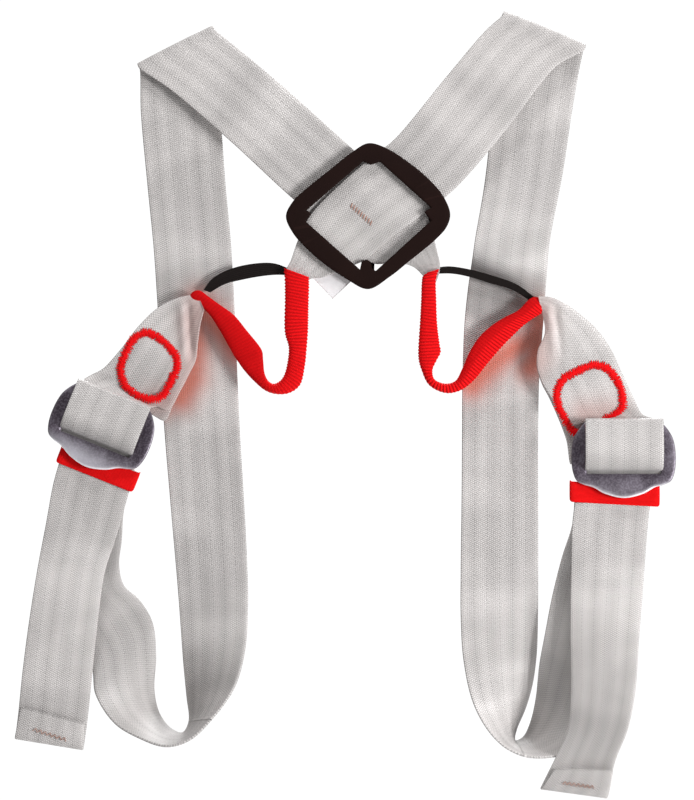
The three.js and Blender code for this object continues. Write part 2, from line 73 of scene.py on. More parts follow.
camera_data = bpy.data.cameras.new("front_camera")
camera_data.sensor_width = SENSOR
camera_data.lens = SENSOR * VIEW_DISTANCE / VIEW_HEIGHT
camera_data.clip_start = 0.05
camera_data.clip_end = 50
camera = bpy.data.objects.new("front_camera", camera_data)
camera.location = VIEW_MIDDLE + Vector((0, -VIEW_DISTANCE, 0))
camera.rotation_euler = (math.pi / 2, 0, 0)
bpy.context.scene.collection.objects.link(camera)
bpy.context.scene.camera = camera


# ==== Main webbings =================================================================================
# Two lengths of 45 mm polyester webbing. Each is gathered into a soft loop, crosses the plate, folds
# over the shoulder, runs down behind, turns on edge under the arm, goes through the adjuster, round
# its bar and out again, and ends in a free tail with a turned hem.
WEB_THICK = 1.5
HALF_WEB = 22.5


def smooth_curve(points, legs, fractions):
    """A curve through the points whose speed on each leg follows the square root of the leg's length:
    a cubic from each point to the next, leaving and arriving with slopes blended from both sides."""
    points = np.asarray(points, float)
    padded = np.vstack([2 * points[0] - points[1], points, 2 * points[-1] - points[-2]])
    steps = np.sqrt(np.linalg.norm(np.diff(padded, axis=0), axis=1))[:, None]
    steps = np.maximum(steps, 1e-6)
    x0, x1, x2, x3 = (padded[legs + k] for k in range(4))
    d0, d1, d2 = (steps[legs + k] for k in range(3))
    leave = ((x1 - x0) / d0 - (x2 - x0) / (d0 + d1) + (x2 - x1) / d1) * d1
    arrive = ((x2 - x1) / d1 - (x3 - x1) / (d1 + d2) + (x3 - x2) / d2) * d1
    t = fractions[:, None]
    cubic = (2 * x1 - 2 * x2 + leave + arrive) * t**3
    return cubic + (-3 * x1 + 3 * x2 - 2 * leave - arrive) * t**2 + leave * t + x1


def even_rows(edges, pitch, least):
    """Splits each leg between stations into rows about one pitch apart, and never fewer than least."""
    chords = np.linalg.norm(np.diff(edges.mean(axis=1), axis=0), axis=1)
    counts = np.maximum(np.ceil(chords / pitch).astype(int), least)
    legs = np.repeat(np.arange(len(counts)), counts)
    first = np.repeat(np.cumsum(counts) - counts, counts)
    fractions = (np.arange(len(legs)) - first) / np.repeat(counts, counts)
    starts = np.append(np.cumsum(counts) - counts, counts.sum())
    return np.append(legs, len(counts) - 1), np.append(fractions, 1.0), starts


def flat_profile(columns=22, round_steps=3):
    """The outline of a flat band's cross-section: s runs from one selvedge to the other and back, and
    h is the height in thicknesses, with half circles of small radius at both selvedges."""
    angles = np.linspace(0, math.pi, round_steps + 2)[1:-1]
    radius = 0.014
    inner = np.linspace(radius, 1 - radius, columns)
    round_end = radius - radius * np.sin(angles)
    s = np.concatenate([inner, 1 - round_end, inner[::-1], round_end])
    h = np.concatenate([
        np.full(columns, 0.5), 0.5 * np.cos(angles), np.full(columns, -0.5), -0.5 * np.cos(angles)])
    return s, h


def band_grid(stations, thickness, profile, pitch=1.6, least=4, ripple=None):
    """A band between two edge curves. Each point is the first edge, plus s times the way to the second
    edge, plus h thicknesses along the normal, which is square to the travel and to the band's width.
    Returns the grid of points, the distance travelled and the row at which each station lies."""
    edges = np.array(stations, float)
    legs, fractions, starts = even_rows(edges, pitch, least)
    first = smooth_curve(edges[:, 0], legs, fractions)
    second = smooth_curve(edges[:, 1], legs, fractions)
    middle = (first + second) / 2
    travel = np.gradient(middle, axis=0)
    normal = np.cross(travel, second - first)
    normal /= np.linalg.norm(normal, axis=1)[:, None]
    depth = np.interp(legs + fractions, np.arange(len(edges)), np.broadcast_to(thickness, len(edges)))
    s, h = profile
    grid = first[:, None] + s[None, :, None] * (second - first)[:, None]
    grid = grid + normal[:, None] * (h[None, :] * depth[:, None])[..., None]
    distance = np.concatenate([[0], np.cumsum(np.linalg.norm(np.diff(middle, axis=0), axis=1))])
    if ripple is not None:
        weight = np.interp(legs + fractions, np.arange(len(edges)), ripple)
        grid = grid + normal[:, None] * (weight[:, None] * ripples(distance, s))[..., None]
    return grid, distance, starts


def ripples(distance, s):
    """The slow unevenness of a used band: three long waves along and across it, in millimetres."""
    d = distance[:, None]
    across = s[None, :]
    slow = 0.8 * np.sin(d / 29 + 2.2 * across)
    middle = 0.32 * np.sin(d / 13 - 3.1 * across + 1.3)
    cup = 0.7 * np.sin(d / 47 + 0.7) * (np.cos(math.pi * (across - 0.5)) - 0.6)
    return slow + middle + cup


def put_mesh(name, points, quads, caps, uv):
    """Makes the object. Points are in millimetres, and faces whose signed volume comes out negative
    are turned round. Caps are flat faces, so they don't bend the light on the band's end."""
    mesh = bpy.data.meshes.new(name)
    points = np.asarray(points, float)
    corner = points[quads]
    volume = np.einsum("ij,ij->i", corner[:, 0], np.cross(corner[:, 1], corner[:, 2])).sum()
    volume += np.einsum("ij,ij->i", corner[:, 0], np.cross(corner[:, 2], corner[:, 3])).sum()
    for cap in caps:
        ring = points[cap]
        fan = np.cross(ring[1:-1] - ring[0], ring[2:] - ring[0])
        volume += (fan @ ring[0]).sum()
    turn = slice(None, None, -1 if volume < 0 else 1)
    faces = quads[:, turn].tolist() + [list(cap[turn]) for cap in caps]
    mesh.from_pydata((points * MM).tolist(), [], faces)
    flat = np.zeros(len(faces), bool)
    flat[len(quads):] = True
    mesh.shade_smooth()
    sharp = mesh.attributes.get("sharp_face") or mesh.attributes.new("sharp_face", "BOOLEAN", "FACE")
    sharp.data.foreach_set("value", flat)
    loop_vertex = np.empty(len(mesh.loops), np.int32)
    mesh.loops.foreach_get("vertex_index", loop_vertex)
    layer = mesh.uv_layers.new(name="UVMap")
    layer.data.foreach_set("uv", np.asarray(uv, np.float32)[loop_vertex].ravel())
    mesh.update()
    made = bpy.data.objects.new(name, mesh)
    bpy.context.scene.collection.objects.link(made)
    return made


def grid_faces(rows, columns, close_rows=False):
    """Quads of a grid whose columns close on themselves, and whose rows may."""
    ring = np.arange(rows * columns).reshape(rows, columns)
    below = np.roll(ring, -1, axis=0) if close_rows else ring[1:]
    above = ring if close_rows else ring[:-1]
    quads = np.stack([above, np.roll(above, -1, 1), np.roll(below, -1, 1), below], axis=-1)
    caps = [] if close_rows else [ring[0], ring[-1][::-1]]
    return quads.reshape(-1, 4), caps


def band_piece(name, grid, distance, s, width=2 * HALF_WEB):
    """A band as an object. Its UV map holds millimetres: across the band, then along it."""
    rows, columns = grid.shape[:2]
    quads, caps = grid_faces(rows, columns)
    uv = np.stack(np.broadcast_arrays(s[None, :] * width, distance[:, None]), axis=-1)
    return put_mesh(name, grid.reshape(-1, 3), quads, caps, uv.reshape(-1, 2))


class Signal:
    """One output socket of a finish. Each operator adds a Math node and gives its output."""

    def __init__(self, finish, socket):
        self.finish = finish
        self.socket = socket

    def math(self, operation, first, second=0.0, third=0.0):
        return self.finish.node(
            "ShaderNodeMath", {"operation": operation}, {0: first, 1: second, 2: third})

    def __add__(self, other):
        return self.math("ADD", self, other)

    __radd__ = __add__

    def __mul__(self, other):
        return self.math("MULTIPLY", self, other)

    __rmul__ = __mul__

    def __sub__(self, other):
        return self.math("SUBTRACT", self, other)

    def __rsub__(self, other):
        return self.math("SUBTRACT", other, self)

    def __truediv__(self, other):
        return self.math("DIVIDE", self, other)

    def sine(self):
        return self.math("SINE", self)

    def floor(self):
        return self.math("FLOOR", self)

    def fraction(self):
        return self.math("FRACT", self)

    def size(self):
        return self.math("ABSOLUTE", self)

    def between(self, low, high):
        """0 below low, 1 above high and a smooth rise between them."""
        return self.finish.node(
            "ShaderNodeMapRange", {"interpolation_type": "SMOOTHSTEP"},
            {"Value": self, "From Min": low, "From Max": high, "To Min": 0.0, "To Max": 1.0})


class Finish:
    """A material built one node at a time."""

    def __init__(self, name):
        self.material = bpy.data.materials.new(name)
        self.material.use_nodes = True
        self.tree = self.material.node_tree
        self.tree.nodes.clear()

    def node(self, kind, settings, inputs, output=0):
        made = self.tree.nodes.new(kind)
        for key, value in settings.items():
            setattr(made, key, value)
        for key, value in inputs.items():
            if isinstance(value, Signal):
                self.tree.links.new(value.socket, made.inputs[key])
            else:
                made.inputs[key].default_value = value
        return Signal(self, made.outputs[output]) if made.outputs else made

    def along(self):
        """Millimetres across and along the piece, from its UV map."""
        place = self.node("ShaderNodeUVMap", {"uv_map": "UVMap"}, {})
        across = self.node("ShaderNodeSeparateXYZ", {}, {"Vector": place}, 0)
        along = self.node("ShaderNodeSeparateXYZ", {}, {"Vector": place}, 1)
        return across, along, place

    def place(self):
        """Object coordinates in metres."""
        return self.node("ShaderNodeTexCoord", {}, {}, 3)

    def painted(self, name):
        """The number that paint_values stored under a name."""
        return self.node("ShaderNodeAttribute", {"attribute_name": name}, {}, 2)

    def noise(self, vector, scale, detail=2.0, output=0):
        return self.node(
            "ShaderNodeTexNoise", {}, {"Vector": vector, "Scale": scale, "Detail": detail}, output)

    def blend(self, factor, first, second):
        """A colour that goes from first to second as factor goes from 0 to 1."""
        return self.node("ShaderNodeMix", {"data_type": "RGBA"}, {0: factor, 6: first, 7: second}, 2)

    def close(self, color, roughness, height, strength, distance, **constants):
        """The surface shader, with a bump from height in millimetres times distance."""
        bump = self.node(
            "ShaderNodeBump", {}, {"Strength": strength, "Distance": distance * MM, "Height": height})
        inputs = {"Base Color": color, "Roughness": roughness, "Normal": bump}
        inputs.update({key.replace("_", " "): value for key, value in constants.items()})
        surface = self.node("ShaderNodeBsdfPrincipled", {}, inputs)
        self.node("ShaderNodeOutputMaterial", {}, {"Surface": surface})
        return self.material


def dress(piece, material):
    """Gives a piece its material."""
    piece.data.materials.clear()
    piece.data.materials.append(material)
    return piece


def paint_values(piece, name, values):
    """Stores one number per point, which a finish reads by its name."""
    layer = piece.data.attributes.new(name, "FLOAT", "POINT")
    layer.data.foreach_set("value", np.asarray(values, np.float32).ravel())


TURN = 2 * math.pi


def webbing_finish(name, light, dark):
    """Fine weft ribs that step by half a rib from one warp cord to the next, five dotted rows where the
    binder yarns come up, soft bands across the width and slow blotches along it. Long soft patches of
    painted satin sheen run along it, and two stored numbers add a painted red reflection and painted
    shade."""
    cloth = Finish(name)
    across, along, place = cloth.along()
    rib = 1.2
    cord = 1.25
    step = (across / cord).floor() * 0.5
    ribs = ((along / rib + step) * TURN).sine()
    cords = ((across / cord).fraction() - 0.5).size() * 2
    row = ((across / 7.5 + 0.5).fraction() - 0.5).size() * 7.5
    on_row = 1 - row.between(0.25, 0.75)
    dots = ((along / 2.1) * TURN).sine().between(0.1, 0.7)
    binder = on_row * dots
    wide = cloth.node("ShaderNodeCombineXYZ", {}, {"X": across * 0.3, "Y": along, "Z": along * 0.1})
    # Long soft patches of painted satin sheen along the web: lighter colour and lower roughness there.
    glow = cloth.noise(wide, 0.034, 1.0).between(0.36, 0.64)
    blotch = cloth.noise(place, 0.045, 3.0)
    grain = cloth.noise(place, 0.9, 2.0)
    bands = (across * (TURN / 11.3) + 0.8).sine() * 0.5 + 0.5
    shade = glow * 0.24 + blotch * 0.26 + bands * 0.13 + grain * 0.12 + ribs * 0.26 + 0.16
    shade = shade - binder * 0.2 - cords * 0.12
    woven = cloth.blend(shade, (*dark, 1), (*light, 1))
    # A painted red reflection of the red pieces close in front, mixed towards a dull red.
    painted_red_reflection = cloth.painted("painted_red_reflection")
    color = cloth.blend(painted_red_reflection * (0.85 + ribs * 0.15), woven, (0.56, 0.105, 0.05, 1))
    # Painted shade, mixed towards near-black: the painted shadow under the right elastic and the darker
    # wraps and returns.
    painted_shade = cloth.painted("painted_shade")
    color = cloth.blend(painted_shade * (0.9 + grain * 0.2), color, (0.055, 0.052, 0.051, 1))
    height = ribs * 0.6 - cords * 0.5 - binder * 0.7 + grain * 0.3
    rough = 0.46 - glow * 0.16 + binder * 0.2
    return cloth.close(
        color, rough, height, 0.6, 0.24, Sheen_Weight=0.1, Sheen_Roughness=0.45, Specular_IOR_Level=0.55)


webbing = webbing_finish("silver_webbing", (0.72, 0.688, 0.676), (0.29, 0.276, 0.271))


def flat(y, first, second):
    """A station across the band, both ends at the same depth."""
    return [[first[0], y, first[1]], [second[0], y, second[1]]]


def fold_over(first, second, front, back):
    """A half turn over the line from first to second: the band leaves the front layer, and at each
    angle lies out by the sine of it and back by the cosine, and arrives in the rear layer."""
    radius = (back - front) / 2
    run = np.subtract(second, first)
    run = run / np.linalg.norm(run)
    outward = np.array([-run[1], run[0]])
    rows = []
    for angle in np.radians([0, 45, 90, 135, 180]):
        out = outward * radius * (math.sin(angle) - 1)
        y = (front + back) / 2 - radius * math.cos(angle)
        rows.append(flat(y, np.add(first, out), np.add(second, out)))
    return rows


# Stations from the gathered end to the adjuster, first edge and second edge. The left webbing is the
# lower layer in the plate. From its turn station on, a webbing is cut off as a piece of its own.
left_webbing = [
    flat(-1, [33.4, -40], [40.2, -40]),
    flat(-0.6, [33.2, -36.5], [41.8, -36]),
    flat(1.4, [29, -31.6], [43, -29.6]),
    flat(1.4, [25.5, -29.6], [41.2, -21]),
    flat(1.6, [17, -27.5], [38.6, -10.5]),
    flat(1.6, [3.2, -28.2], [33.6, 3.6]),
    flat(1.6, [-14.8, -14.6], [14.8, 19.3]),
    flat(1.6, [-44.5, 10.1], [-12.6, 43.2]),
    flat(0.4, [-83.5, 46], [-50.6, 77.4]),
    flat(-0.4, [-118, 75.5], [-83, 104.4]),
    *fold_over([-137.8, 91.1], [-92.4, 113.7], -0.6, 6),
    flat(7, [-135.6, 62], [-88.9, 76]),
    flat(8.2, [-131.8, 18], [-85.3, 22]),
    flat(9, [-128.2, -19], [-81.8, -17]),
    flat(9, [-125.5, -60], [-79.5, -60]),
    [[-122, 9, -123.8], [-76.8, 9, -123.8]],
    [[-118.5, 9, -166.7], [-74.2, 8.5, -166.7]],
    [[-115.5, 9.5, -202.4], [-72.2, 7, -202.4]],
    [[-113.1, 10.5, -231], [-71.3, 3.5, -231]],
    [[-110.6, 12.5, -262], [-73.3, -3, -258]],
    [[-108.4, 15.5, -288], [-80, -13, -280]],
    [[-107.6, 18.5, -303], [-93, -20, -297]],
    [[-111.5, 20, -309.6], [-106, -23.5, -308.5]],
    [[-118.5, 19.5, -306.8], [-118.5, -24, -312]],
    [[-124.8, 18, -298], [-134, -21, -308]],
    [[-127.6, 15, -284], [-150, -15, -300]],
    [[-126.4, 11, -262], [-162, -7, -284]],
    [[-128.6, 7, -242.3], [-164.5, -2, -268]],
    [[-136.5, 4.5, -228.5], [-174, 1, -250]],
    [[-145.5, 4, -220], [-185, 2, -233]],
    [[-148.3, 3, -208], [-189.5, 2, -215]],
    [[-146.6, 1, -193], [-189.3, 0.5, -186]],
]
LEFT_TURN_STATION = 25
right_webbing = [
    flat(-1, [-47.6, -43], [-37.2, -44]),
    flat(-0.8, [-47.9, -38.5], [-36.8, -39.5]),
    flat(-0.2, [-48.8, -32.2], [-34.2, -37.4]),
    flat(-0.2, [-46.2, -27], [-26.8, -36.6]),
    flat(-0.2, [-41.8, -14.5], [-16, -32]),
    flat(-0.2, [-35, 0], [-1.4, -26]),
    flat(-0.2, [-13, 22.5], [16, -11.8]),
    flat(-0.2, [4.6, 37], [35, 2.6]),
    flat(-0.3, [16, 46], [52, 16.5]),
    flat(-0.8, [47.5, 84], [82, 51]),
    flat(-1, [70, 110.5], [112, 89]),
    *fold_over([81, 122.6], [130, 101.9], -1.1, 6),
    flat(7, [75.6, 78], [123, 69]),
    flat(8.2, [70, 22], [116.5, 26]),
    flat(9, [63, -20], [108.3, -18]),
    flat(9, [58, -60], [105.2, -60]),
    [[56.5, 9, -95], [102.6, 9, -95]],
    [[56.3, 9, -130], [101.8, 9, -130]],
    [[56, 9, -169], [101.8, 9, -169]],
    [[55.5, 9, -210], [101.8, 9, -210]],
    [[55.4, 8, -240], [101.8, 9.5, -240]],
    [[56.8, 5, -264], [101.3, 11.5, -262]],
    [[62, -1, -288], [99.3, 16, -280]],
    [[70.5, -8, -304], [95.3, 21, -296]],
    [[80.5, -13.5, -314], [90.5, 26, -308]],
    [[92, -16.5, -319], [89, 27, -314.5]],
    [[104, -16, -320], [93.5, 25, -312.5]],
    [[117, -12.5, -318], [98, 20, -303]],
    [[130, -8, -309], [101, 13, -288]],
    [[140.5, -4, -292], [102.6, 7, -267]],
    [[149.5, -2, -268], [105.5, 3.5, -249]],
    [[155.5, 0, -241], [109.8, 2, -226]],
    [[161.5, 0, -213], [115.5, 1, -203]],
]
RIGHT_TURN_STATION = 29

# The middle of each adjuster's top bar, its turn in the plane of the chest, and which way is inward.
SIDES = {
    "left": {"bar": (-150.8, 0, -107.2), "turn": math.radians(21.7), "inward": 1},
    "right": {"bar": (151.8, 0, -122.6), "turn": 0.0, "inward": -1},
}
# The web's way round the adjuster: down the strap, to the front, and the sideways drift at each row.
WRAP_ROWS = [
    (-61.5, 1.3, 8), (-48, 1.3, 6.6), (-38.5, 1.3, 6), (-35, 1.25, 3.6), (-31.5, 0.9, 0.1),
    (-27, 1.7, 0), (-18, 4.2, 0), (-8, 5.2, 0),
    (-0.8, 5.2, 0), (0.9, 5.9, 0), (1.6, 7.6, 0), (0.9, 9.3, 0), (-0.8, 10, 0),
    (-6.5, 11.6, 0), (-13.5, 12.5, 0), (-20, 12.3, 0), (-24.8, 10.4, 0), (-27.5, 7.4, 0), (-28.5, 4.8, 0),
    (-30.8, 2.75, 0.1), (-35, 3.1, 3.6), (-38.5, 3.1, 6), (-48, 3.1, 6.6), (-61.5, 3.1, 8),
]
TAILS = {
    "left": [
        [[-191.2, -5.5, -183], [-150.3, -4.2, -193.5]],
        [[-195.8, -9, -208.9], [-156, -6.5, -211]],
        [[-200.6, -13, -241.1], [-160, -9, -240]],
        [[-204.2, -15, -270.2], [-163.1, -11, -270.2]],
        [[-206.6, -15.2, -294], [-165.6, -12, -296]],
        [[-208.3, -14.8, -307], [-168, -12.8, -314]],
        [[-208.6, -15.9, -308.9], [-168.3, -13.9, -315.8]],
        [[-208.2, -17.2, -307], [-168, -15.2, -314]],
        [[-204.9, -17.9, -290.2], [-167.4, -14.8, -300.4]],
    ],
    "right": [
        [[120.4, -5.6, -215], [163.3, -9.5, -215]],
        [[119.8, -8.5, -248], [160, -17, -248]],
        [[120, -10.5, -279], [157, -24, -281]],
        [[118.2, -12.5, -302], [152.2, -27, -303]],
        [[111.6, -15.5, -318], [145.2, -26, -321]],
        [[102.4, -18, -336.5], [140.9, -23, -341.2]],
        [[101.5, -19.3, -338.2], [140.6, -24.2, -343]],
        [[103, -20.6, -336.6], [141.2, -25.6, -341.2]],
        [[110.2, -20.6, -326.2], [143.6, -29.4, -326.6]],
    ],
}


def from_adjuster(side, u, v, w):
    """A point given from the adjuster's top bar: u along the bar, v up the strap, w to the front."""
    x, y, z = side["bar"]
    c, s = math.cos(side["turn"]), math.sin(side["turn"])
    return np.stack([x + u * c + v * s, y - w, z - u * s + v * c], axis=-1)


PRESSED_OUT = 0.7
FRAME_FRONT = 6.5


def wrap_stations(side):
    """The rows round the adjuster. In front of the frame the web presses out over the side rails."""
    rows = []
    for v, w, drift in WRAP_ROWS:
        half = HALF_WEB + (PRESSED_OUT if w > FRAME_FRONT else 0)
        rows.append([
            from_adjuster(side, side["inward"] * drift + sign * half, v, w).tolist() for sign in (1, -1)])
    return rows


profile_s, profile_h = flat_profile()

# Lines in the plane of the chest along the red pieces, near which the cloth behind them gets a painted
# red reflection.
RED_EDGES = [
    [[-112, -108], [-105, -96], [-103, -76], [-104, -62], [-98, -56], [-92, -62], [-84, -71], [-77, -80]],
    [[-128, -112], [-119, -109]],
    [[-101, -52], [-102, -60]],
    [[128, -118], [150, -117]],
    [[102, -58], [102.5, -68]],
    [[62, -100], [70, -92], [79, -84], [88, -78], [96, -75], [101, -70], [101, -84], [96, -92]],
]


def in_front(grid):
    """True on the front face of a band: where a point lies before the one straight through it."""
    columns = grid.shape[1]
    through = (columns - 4 - np.arange(columns)) % columns
    return grid[..., 1] < grid[:, through, 1]


def red_reflection_near(grid):
    """How much painted red reflection the front of the cloth gets from a red piece close before it: e to
    the minus square of the distance from the nearest red line, over 9.5 mm."""
    spots = []
    for line in RED_EDGES:
        line = np.array(line, float)
        spots += [a + (b - a) * t for a, b in zip(line[:-1], line[1:]) for t in (0, 0.25, 0.5, 0.75)]
    apart = np.linalg.norm(grid[..., None, [0, 2]] - np.array(spots), axis=-1).min(axis=-1)
    return 0.95 * np.exp(-((apart / 9.5) ** 2)) * in_front(grid)


def painted_shade_on(part, grid, side):
    """Painted shade on the cloth: a painted shadow under the right elastic on the rear run, darker
    towards the top of each wrap's front and even over the wrap's back, and an even painted shade over the
    returns.
    """
    x, y, z = grid[..., 0], grid[..., 1], grid[..., 2]
    if part == "strap":
        above = z + 33 + 0.46 * (x - 66)
        close = np.exp(-((above / np.where(above > 0, 9, 6)) ** 2))
        below = 0.4 * (above < 0) * (1 - close) * np.clip((above + 34) / 8, 0, 1)
        return (0.8 * close + below) * in_front(grid) * (x > 52) * np.clip((116 - x) / 32, 0, 1)
    if part == "wrap":
        bar = side["bar"]
        down = -((x - bar[0]) * math.sin(side["turn"]) + (z - bar[2]) * math.cos(side["turn"]))
        return 0.2 * np.clip(1 - down / 24, 0.3, 1) * (y < -6) + 0.16 * (y >= -6)
    return np.full(x.shape, 0.13 if part == "return" else 0.0)


# Each webbing is worked out in one go, so its weave and its light run on across the pieces, and is then
# cut into the part that stays, the part from the turn station to the adjuster, the wrap and the tail.
for name, run, turn_station in (
        ("left", left_webbing, LEFT_TURN_STATION), ("right", right_webbing, RIGHT_TURN_STATION)):
    side = SIDES[name]
    wrap = wrap_stations(side)
    tail = [pair[::-1] for pair in TAILS[name]]
    # Flat in the plate's hold, the wrap and the hem, and uneven where the web hangs free.
    uneven = [0] * 8 + [1] * (len(run) - 10) + [0.3, 0] + [0] * len(wrap)
    uneven += [0.6] * (len(tail) - 4) + [0] * 4
    grid, distance, starts = band_grid(
        run + wrap + tail, WEB_THICK, (profile_s, profile_h), ripple=uneven)
    if name == "right":
        # The rear run bulges to the front below the elastic.
        behind = (grid[..., 1] > 6) & (np.abs(grid[..., 2] + 36) < 40)
        above = grid[..., 2] + 28 + 0.2 * (grid[..., 0] - 80)
        grid[..., 1] -= behind * 4.4 * np.exp(-((above / 8.5) ** 2))
    cuts = [0, starts[turn_station], starts[len(run)], starts[len(run) + len(wrap) - 2], len(grid) - 1]
    pieces = {}
    for part, low, high in zip(("strap", "return", "wrap", "tail"), cuts[:-1], cuts[1:]):
        piece = band_piece(
            f"{name}_webbing_{part}", grid[low:high + 1], distance[low:high + 1], profile_s)
        dress(piece, webbing)
        # The strap gets a painted red reflection near the red pieces.
        if part == "strap":
            paint_values(piece, "painted_red_reflection", red_reflection_near(grid[low:high + 1]))
        # Every piece stores its painted shade.
        paint_values(piece, "painted_shade", painted_shade_on(part, grid[low:high + 1], side))
        length = (distance[high] - distance[low]) * MM
        held = "hung" if part in ("strap", "tail") else "stretched"
        pieces[part] = piece
    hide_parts(f"{name}_shoulder_strap")
    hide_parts(f"{name}_underarm_strap")
    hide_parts(f"{name}_adjuster_wrap")
    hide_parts(f"{name}_tail")
    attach(pieces["strap"], "harness")
    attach(pieces["wrap"], f"{name}_adjuster")
    low_end = Vector(from_adjuster(side, 0, -125, 0)) * MM
    high_end = Vector(from_adjuster(side, 0, -66, 0)) * MM
    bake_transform(pieces["return"])
    tail_top = Vector(from_adjuster(side, 0, -62, 3.1)) * MM
    tail_free = Vector(from_adjuster(side, 0, -78, 3.1)) * MM
    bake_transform(pieces["tail"])


# ==== Cross plate ===================================================================================
# One black nylon moulding: a rounded diamond ring in front of both webbings, small lugs at its inner
# corners, four posts beside the webbings and a star-shaped back. It is matt, with slightly worn edges.
def radius_of(outline, angles):
    """How far out a closed outline lies at each angle from the origin: the distance along each ray to
    the edge of the outline that it crosses."""
    a = np.asarray(outline, float)
    b = np.roll(a, -1, axis=0)
    ray = np.stack([np.cos(angles), np.sin(angles)], axis=1)[:, None]
    edge = (b - a)[None]
    start = a[None]
    cross = ray[..., 0] * edge[..., 1] - ray[..., 1] * edge[..., 0]
    cross = np.where(np.abs(cross) < 1e-9, 1e-9, cross)
    reach = (start[..., 0] * edge[..., 1] - start[..., 1] * edge[..., 0]) / cross
    part = (start[..., 0] * ray[..., 1] - start[..., 1] * ray[..., 0]) / cross
    hit = (reach > 0) & (part >= -1e-6) & (part <= 1 + 1e-6)
    return np.where(hit, reach, 1e9).min(axis=1)


def closed_curve(points, per_leg=12):
    """A smooth closed curve through the points."""
    points = np.asarray(points, float)
    count = len(points)
    wrapped = np.vstack([points[-3:], points, points[:3]])
    legs = np.repeat(np.arange(3, 3 + count), per_leg)
    fractions = np.tile(np.arange(per_leg) / per_leg, count)
    return smooth_curve(wrapped, legs, fractions)


def rounded_section(depth, steps=4, share=0.18):
    """The outline of a bar's cross-section, a from 0 at the inner edge to 1 at the outer, and h in
    millimetres over a depth, with quarter circles at its four corners."""
    a, h = [], []
    for centre_a, centre_h, start in ((1, 1, 0), (0, 1, 90), (0, 0, 180), (1, 0, 270)):
        angle = np.radians(np.linspace(start, start + 90, steps + 1))
        a.append(np.where(centre_a, 1 - share, share) + share * np.cos(angle))
        h.append(np.where(centre_h, 1 - share, share) + share * np.sin(angle))
    return np.concatenate(a), (np.concatenate(h) - 0.5) * depth


def ring_piece(name, outer, inner, depth, place, count=720, centre=(0, 0), share=0.18):
    """A flat ring: at each angle its rounded section reaches from the inner outline to the outer one.
    place turns x, z and depth into points. Returns the piece, its points, and how near each one is to
    an edge, which falls off with the square of the distance over 0.9 mm."""
    angles = np.linspace(0, TURN, count, endpoint=False)
    far = radius_of(np.asarray(outer) - centre, angles)
    near = radius_of(np.asarray(inner) - centre, angles)
    a, h = rounded_section(depth, share=share)
    reach = near[:, None] + a[None] * (far - near)[:, None]
    x = centre[0] + reach * np.cos(angles)[:, None]
    z = centre[1] + reach * np.sin(angles)[:, None]
    grid = place(x, z, np.broadcast_to(h[None], x.shape))
    quads, caps = grid_faces(*x.shape, close_rows=True)
    uv = np.stack([x, z], axis=-1).reshape(-1, 2)
    margin = np.minimum(far[:, None] - reach, reach - near[:, None])
    rim = np.exp(-((margin / 0.9) ** 2))
    return put_mesh(name, grid.reshape(-1, 3), quads, caps, uv), grid, rim


plate_outline = [
    [0, 43], [10, 40.5], [25, 31], [36.8, 21], [45, 11], [48.8, 1], [46.8, -6.5], [40.3, -14],
    [25, -26.6], [13, -36.2], [0, -43.6], [-13, -37.5], [-27.5, -27.5], [-36.5, -19.5],
    [-44.5, -10.5], [-48.8, -0.5], [-45, 8], [-36.8, 16], [-23, 27], [-9.5, 37.7],
]
plate_opening = [
    [-36.9, 3], [-33.7, 1.1], [-36.9, -3.6], [-4.6, -32.2], [-3.9, -31], [-4.2, -28.6],
    [-2.9, -26.8], [-1.1, -26.1], [0.8, -26.8], [1.9, -28.7], [1.7, -30.8], [2.6, -31.7],
    [4.6, -32.8], [37.4, -3], [33.4, 2.2], [37.4, 4.8], [7, 32.1], [1.6, 30.3], [-3, 32.2],
]


def plate_place(x, z, h):
    """The ring lies flat, with its middle 3.3 mm in front of the crossing."""
    return np.stack([x, -3.3 + h, z], axis=-1)


def plate_finish():
    """Near-black nylon with a fine spark-eroded grain, and a faint brown polish where edges rub."""
    nylon = Finish("plate_nylon")
    place = nylon.place()
    grain = nylon.noise(place, 2600.0, 2.0)
    cloud = nylon.noise(place, 45.0, 3.0)
    edge = nylon.node("ShaderNodeNewGeometry", {}, {}, 7)
    worn = edge.between(0.5, 0.62)
    shade = cloud * 0.5 + grain * 0.2 + worn * 0.3
    color = nylon.blend(shade, (0.006, 0.0022, 0.0018, 1), (0.019, 0.0075, 0.006, 1))
    rough = 0.68 + grain * 0.16 - worn * 0.1
    return nylon.close(color, rough, grain, 0.3, 0.06, Specular_IOR_Level=0.08)


plate_nylon = plate_finish()
ring, _, _ = ring_piece(
    "cross_plate_ring", closed_curve(plate_outline), plate_opening, 4.0, plate_place, count=1440)
dress(ring, plate_nylon)
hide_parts("cross_plate")
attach(ring, "harness")


def star_slab(name, outline, front, back, rounding=0.6):
    """A closed slab over a star-shaped outline: rings shrink to the middle on both faces, and the
    outermost ones are rounded over."""
    angles = np.linspace(0, TURN, 360, endpoint=False)
    reach = radius_of(outline, angles)
    turn = np.radians(np.linspace(0, 90, 4))
    shrink = np.concatenate([
        [-1.0], rounding * (1 - np.sin(turn)), rounding * (1 - np.cos(turn))[1:], [-1.0]])
    depth = np.concatenate([
        [front], front + rounding * (1 - np.cos(turn)), back - rounding * (1 - np.sin(turn))[1:], [back]])
    scale = np.where(shrink[None] < 0, 0.02 * reach[:, None], reach[:, None] - shrink[None])
    x = (scale * np.cos(angles)[:, None]).T
    z = (scale * np.sin(angles)[:, None]).T
    y = np.broadcast_to(depth[:, None], x.shape)
    quads, caps = grid_faces(*x.shape)
    uv = np.stack([x, z], axis=-1).reshape(-1, 2)
    return put_mesh(name, np.stack([x, y, z], axis=-1).reshape(-1, 3), quads, caps, uv)


